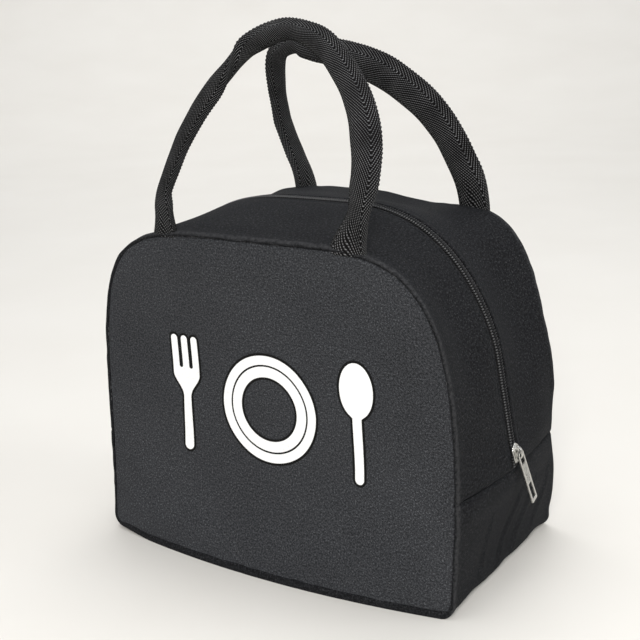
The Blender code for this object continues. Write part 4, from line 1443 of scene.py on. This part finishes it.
def ink_film(name, lines, standoff, thickness, material):
    """A film of ink in the shape of closed outlines, laid on the front panel."""
    mesh = bmesh.new()
    mesh.from_mesh(curve_mesh(filled_curve(name, lines)))
    bmesh.ops.remove_doubles(mesh, verts=mesh.verts, dist=1e-6)
    for axis, low, high in (((1, 0, 0), -0.075, 0.080), ((0, 1, 0), 0.050, 0.130)):
        for place in np.arange(low, high, INK_GRID):
            everything = mesh.verts[:] + mesh.edges[:] + mesh.faces[:]
            at = Vector(axis) * place
            bmesh.ops.bisect_plane(mesh, geom=everything, dist=1e-7, plane_co=at, plane_no=axis)
    where = np.array([vert.co for vert in mesh.verts])
    x, z = where[:, 0], where[:, 1]
    points = np.stack([x, wall_y(-1, x, z), z], axis=1)
    points[:, 1] -= face_relief(points, -1) + standoff
    for vert, point in zip(mesh.verts, points):
        vert.co = point
    outside = bmesh.ops.extrude_face_region(mesh, geom=mesh.faces[:])
    for part in outside["geom"]:
        if isinstance(part, bmesh.types.BMVert):
            part.co.y -= thickness
    bmesh.ops.recalc_face_normals(mesh, faces=mesh.faces)
    layer = mesh.loops.layers.uv.new("cut")
    for face in mesh.faces:
        for corner in face.loops:
            corner[layer].uv = (corner.vert.co.x, corner.vert.co.z)
    made = bpy.data.meshes.new(name)
    mesh.to_mesh(made)
    mesh.free()
    made.materials.append(material)
    return placed(name, made)


def build_prints():
    fork, spoon = fork_outline(), spoon_outline()
    rim = (PLATE_OUTER + PLATE_INNER) / 2
    shapes = {
        "fork": ([fork], [grown(fork, INK_BORDER)]),
        "spoon": ([spoon], [grown(spoon, INK_BORDER)]),
        "plate": (
            [circle(PLATE_OUTER), circle(rim + 0.9 * MM), circle(rim - 0.1 * MM), circle(PLATE_INNER)],
            [circle(PLATE_OUTER + INK_BORDER), circle(PLATE_INNER - INK_BORDER)],
        ),
    }
    for name, (white, black) in shapes.items():
        border = ink_film(f"{name}_border_ink", black, 0.10 * MM, 0.08 * MM, BLACK_INK)
        fill = ink_film(f"{name}_white_ink", white, 0.18 * MM, 0.10 * MM, WHITE_INK)
        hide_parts(f"print_{name}")
        for obj in (border, fill):
            bend(obj)


# --- Camera, light and floor ---


# Round the object, down towards it, and about the line of sight
CAMERA_TURNS = (
    (math.radians(33.77), 4, "Z"),
    (math.radians(90 - 15.84), 4, "X"),
    (-0.0431, 4, "Z"),
)


def build_stage():
    camera = bpy.data.objects.new("camera", bpy.data.cameras.new("camera"))
    bpy.context.scene.collection.objects.link(camera)
    across, down, roll = (Matrix.Rotation(*turn) for turn in CAMERA_TURNS)
    camera.matrix_world = Matrix.Translation((0.3375, -0.5044, 0.2942)) @ across @ down @ roll
    camera.data.lens = 65.3
    camera.data.sensor_width = 36.0
    camera.data.clip_start = 0.01
    bpy.context.scene.camera = camera

    n = Nodes("pale_floor")
    where = n.place()
    tone = n.noise(where, 6.0, 3.0)
    n.finish(Base_Color=n.colour(tone, (0.74, 0.71, 0.66), (0.80, 0.775, 0.73)), Roughness=0.55)
    turn = np.linspace(0, 2 * math.pi, 73)
    rise = np.linspace(0, math.pi / 2, 25)
    radii = np.concatenate([[0.01, 1.0], 1.6 + 2.4 * np.sin(rise)])
    heights = np.concatenate([[0, 0], 2.4 * (1 - np.cos(rise))])
    around = [np.outer(radii, np.cos(turn)), np.outer(radii, np.sin(turn))]
    points = np.stack([*around, np.outer(heights, np.ones(73))], axis=2)
    index = np.arange(points.shape[0] * 73).reshape(-1, 73)
    floor = new_object("floor", points.reshape(-1, 3), grid_quads(index), n.material)
    weld(floor)

    world = bpy.data.worlds.new("studio")
    world.use_nodes = True
    world.node_tree.nodes["Background"].inputs["Color"].default_value = (0.90, 0.94, 1.0, 1)
    world.node_tree.nodes["Background"].inputs["Strength"].default_value = 0.50
    bpy.context.scene.world = world

    for name, place, aim, size, power, colour in (
        ("key_light", (0.62, -1.10, 0.80), (0.03, -0.04, 0.09), 0.45, 15.0, (1.0, 0.99, 0.97)),
        ("top_light", (-0.15, 0.20, 1.3), (0, 0, 0.1), 0.9, 9.0, (1.0, 1.0, 1.0)),
        ("side_light", (1.2, 0.45, 0.75), (0, 0, 0.1), 0.6, 4.0, (0.95, 0.98, 1.0)),
        ("wall_light", (-0.9, 1.3, 1.9), (-2.1, 3.1, 0), 1.4, 27.0, (1.0, 1.0, 1.0)),
    ):
        lamp = bpy.data.lights.new(name, "AREA")
        lamp.size = size
        lamp.energy = power
        lamp.color = colour
        light = bpy.data.objects.new(name, lamp)
        light.location = place
        light.rotation_euler = (Vector(place) - Vector(aim)).to_track_quat("Z", "Y").to_euler()
        bpy.context.scene.collection.objects.link(light)

    bpy.context.scene.view_settings.view_transform = "Standard"


build_stage()
for side, place in SIDES:
    panel(side, place)
    gusset(side, place)
    zip_tape(side, place)
    zip_coil(side, place)
    seam_stitches(side, place)
band()
build_linings()
build_handles()
build_slider()
build_pull()
build_prints()
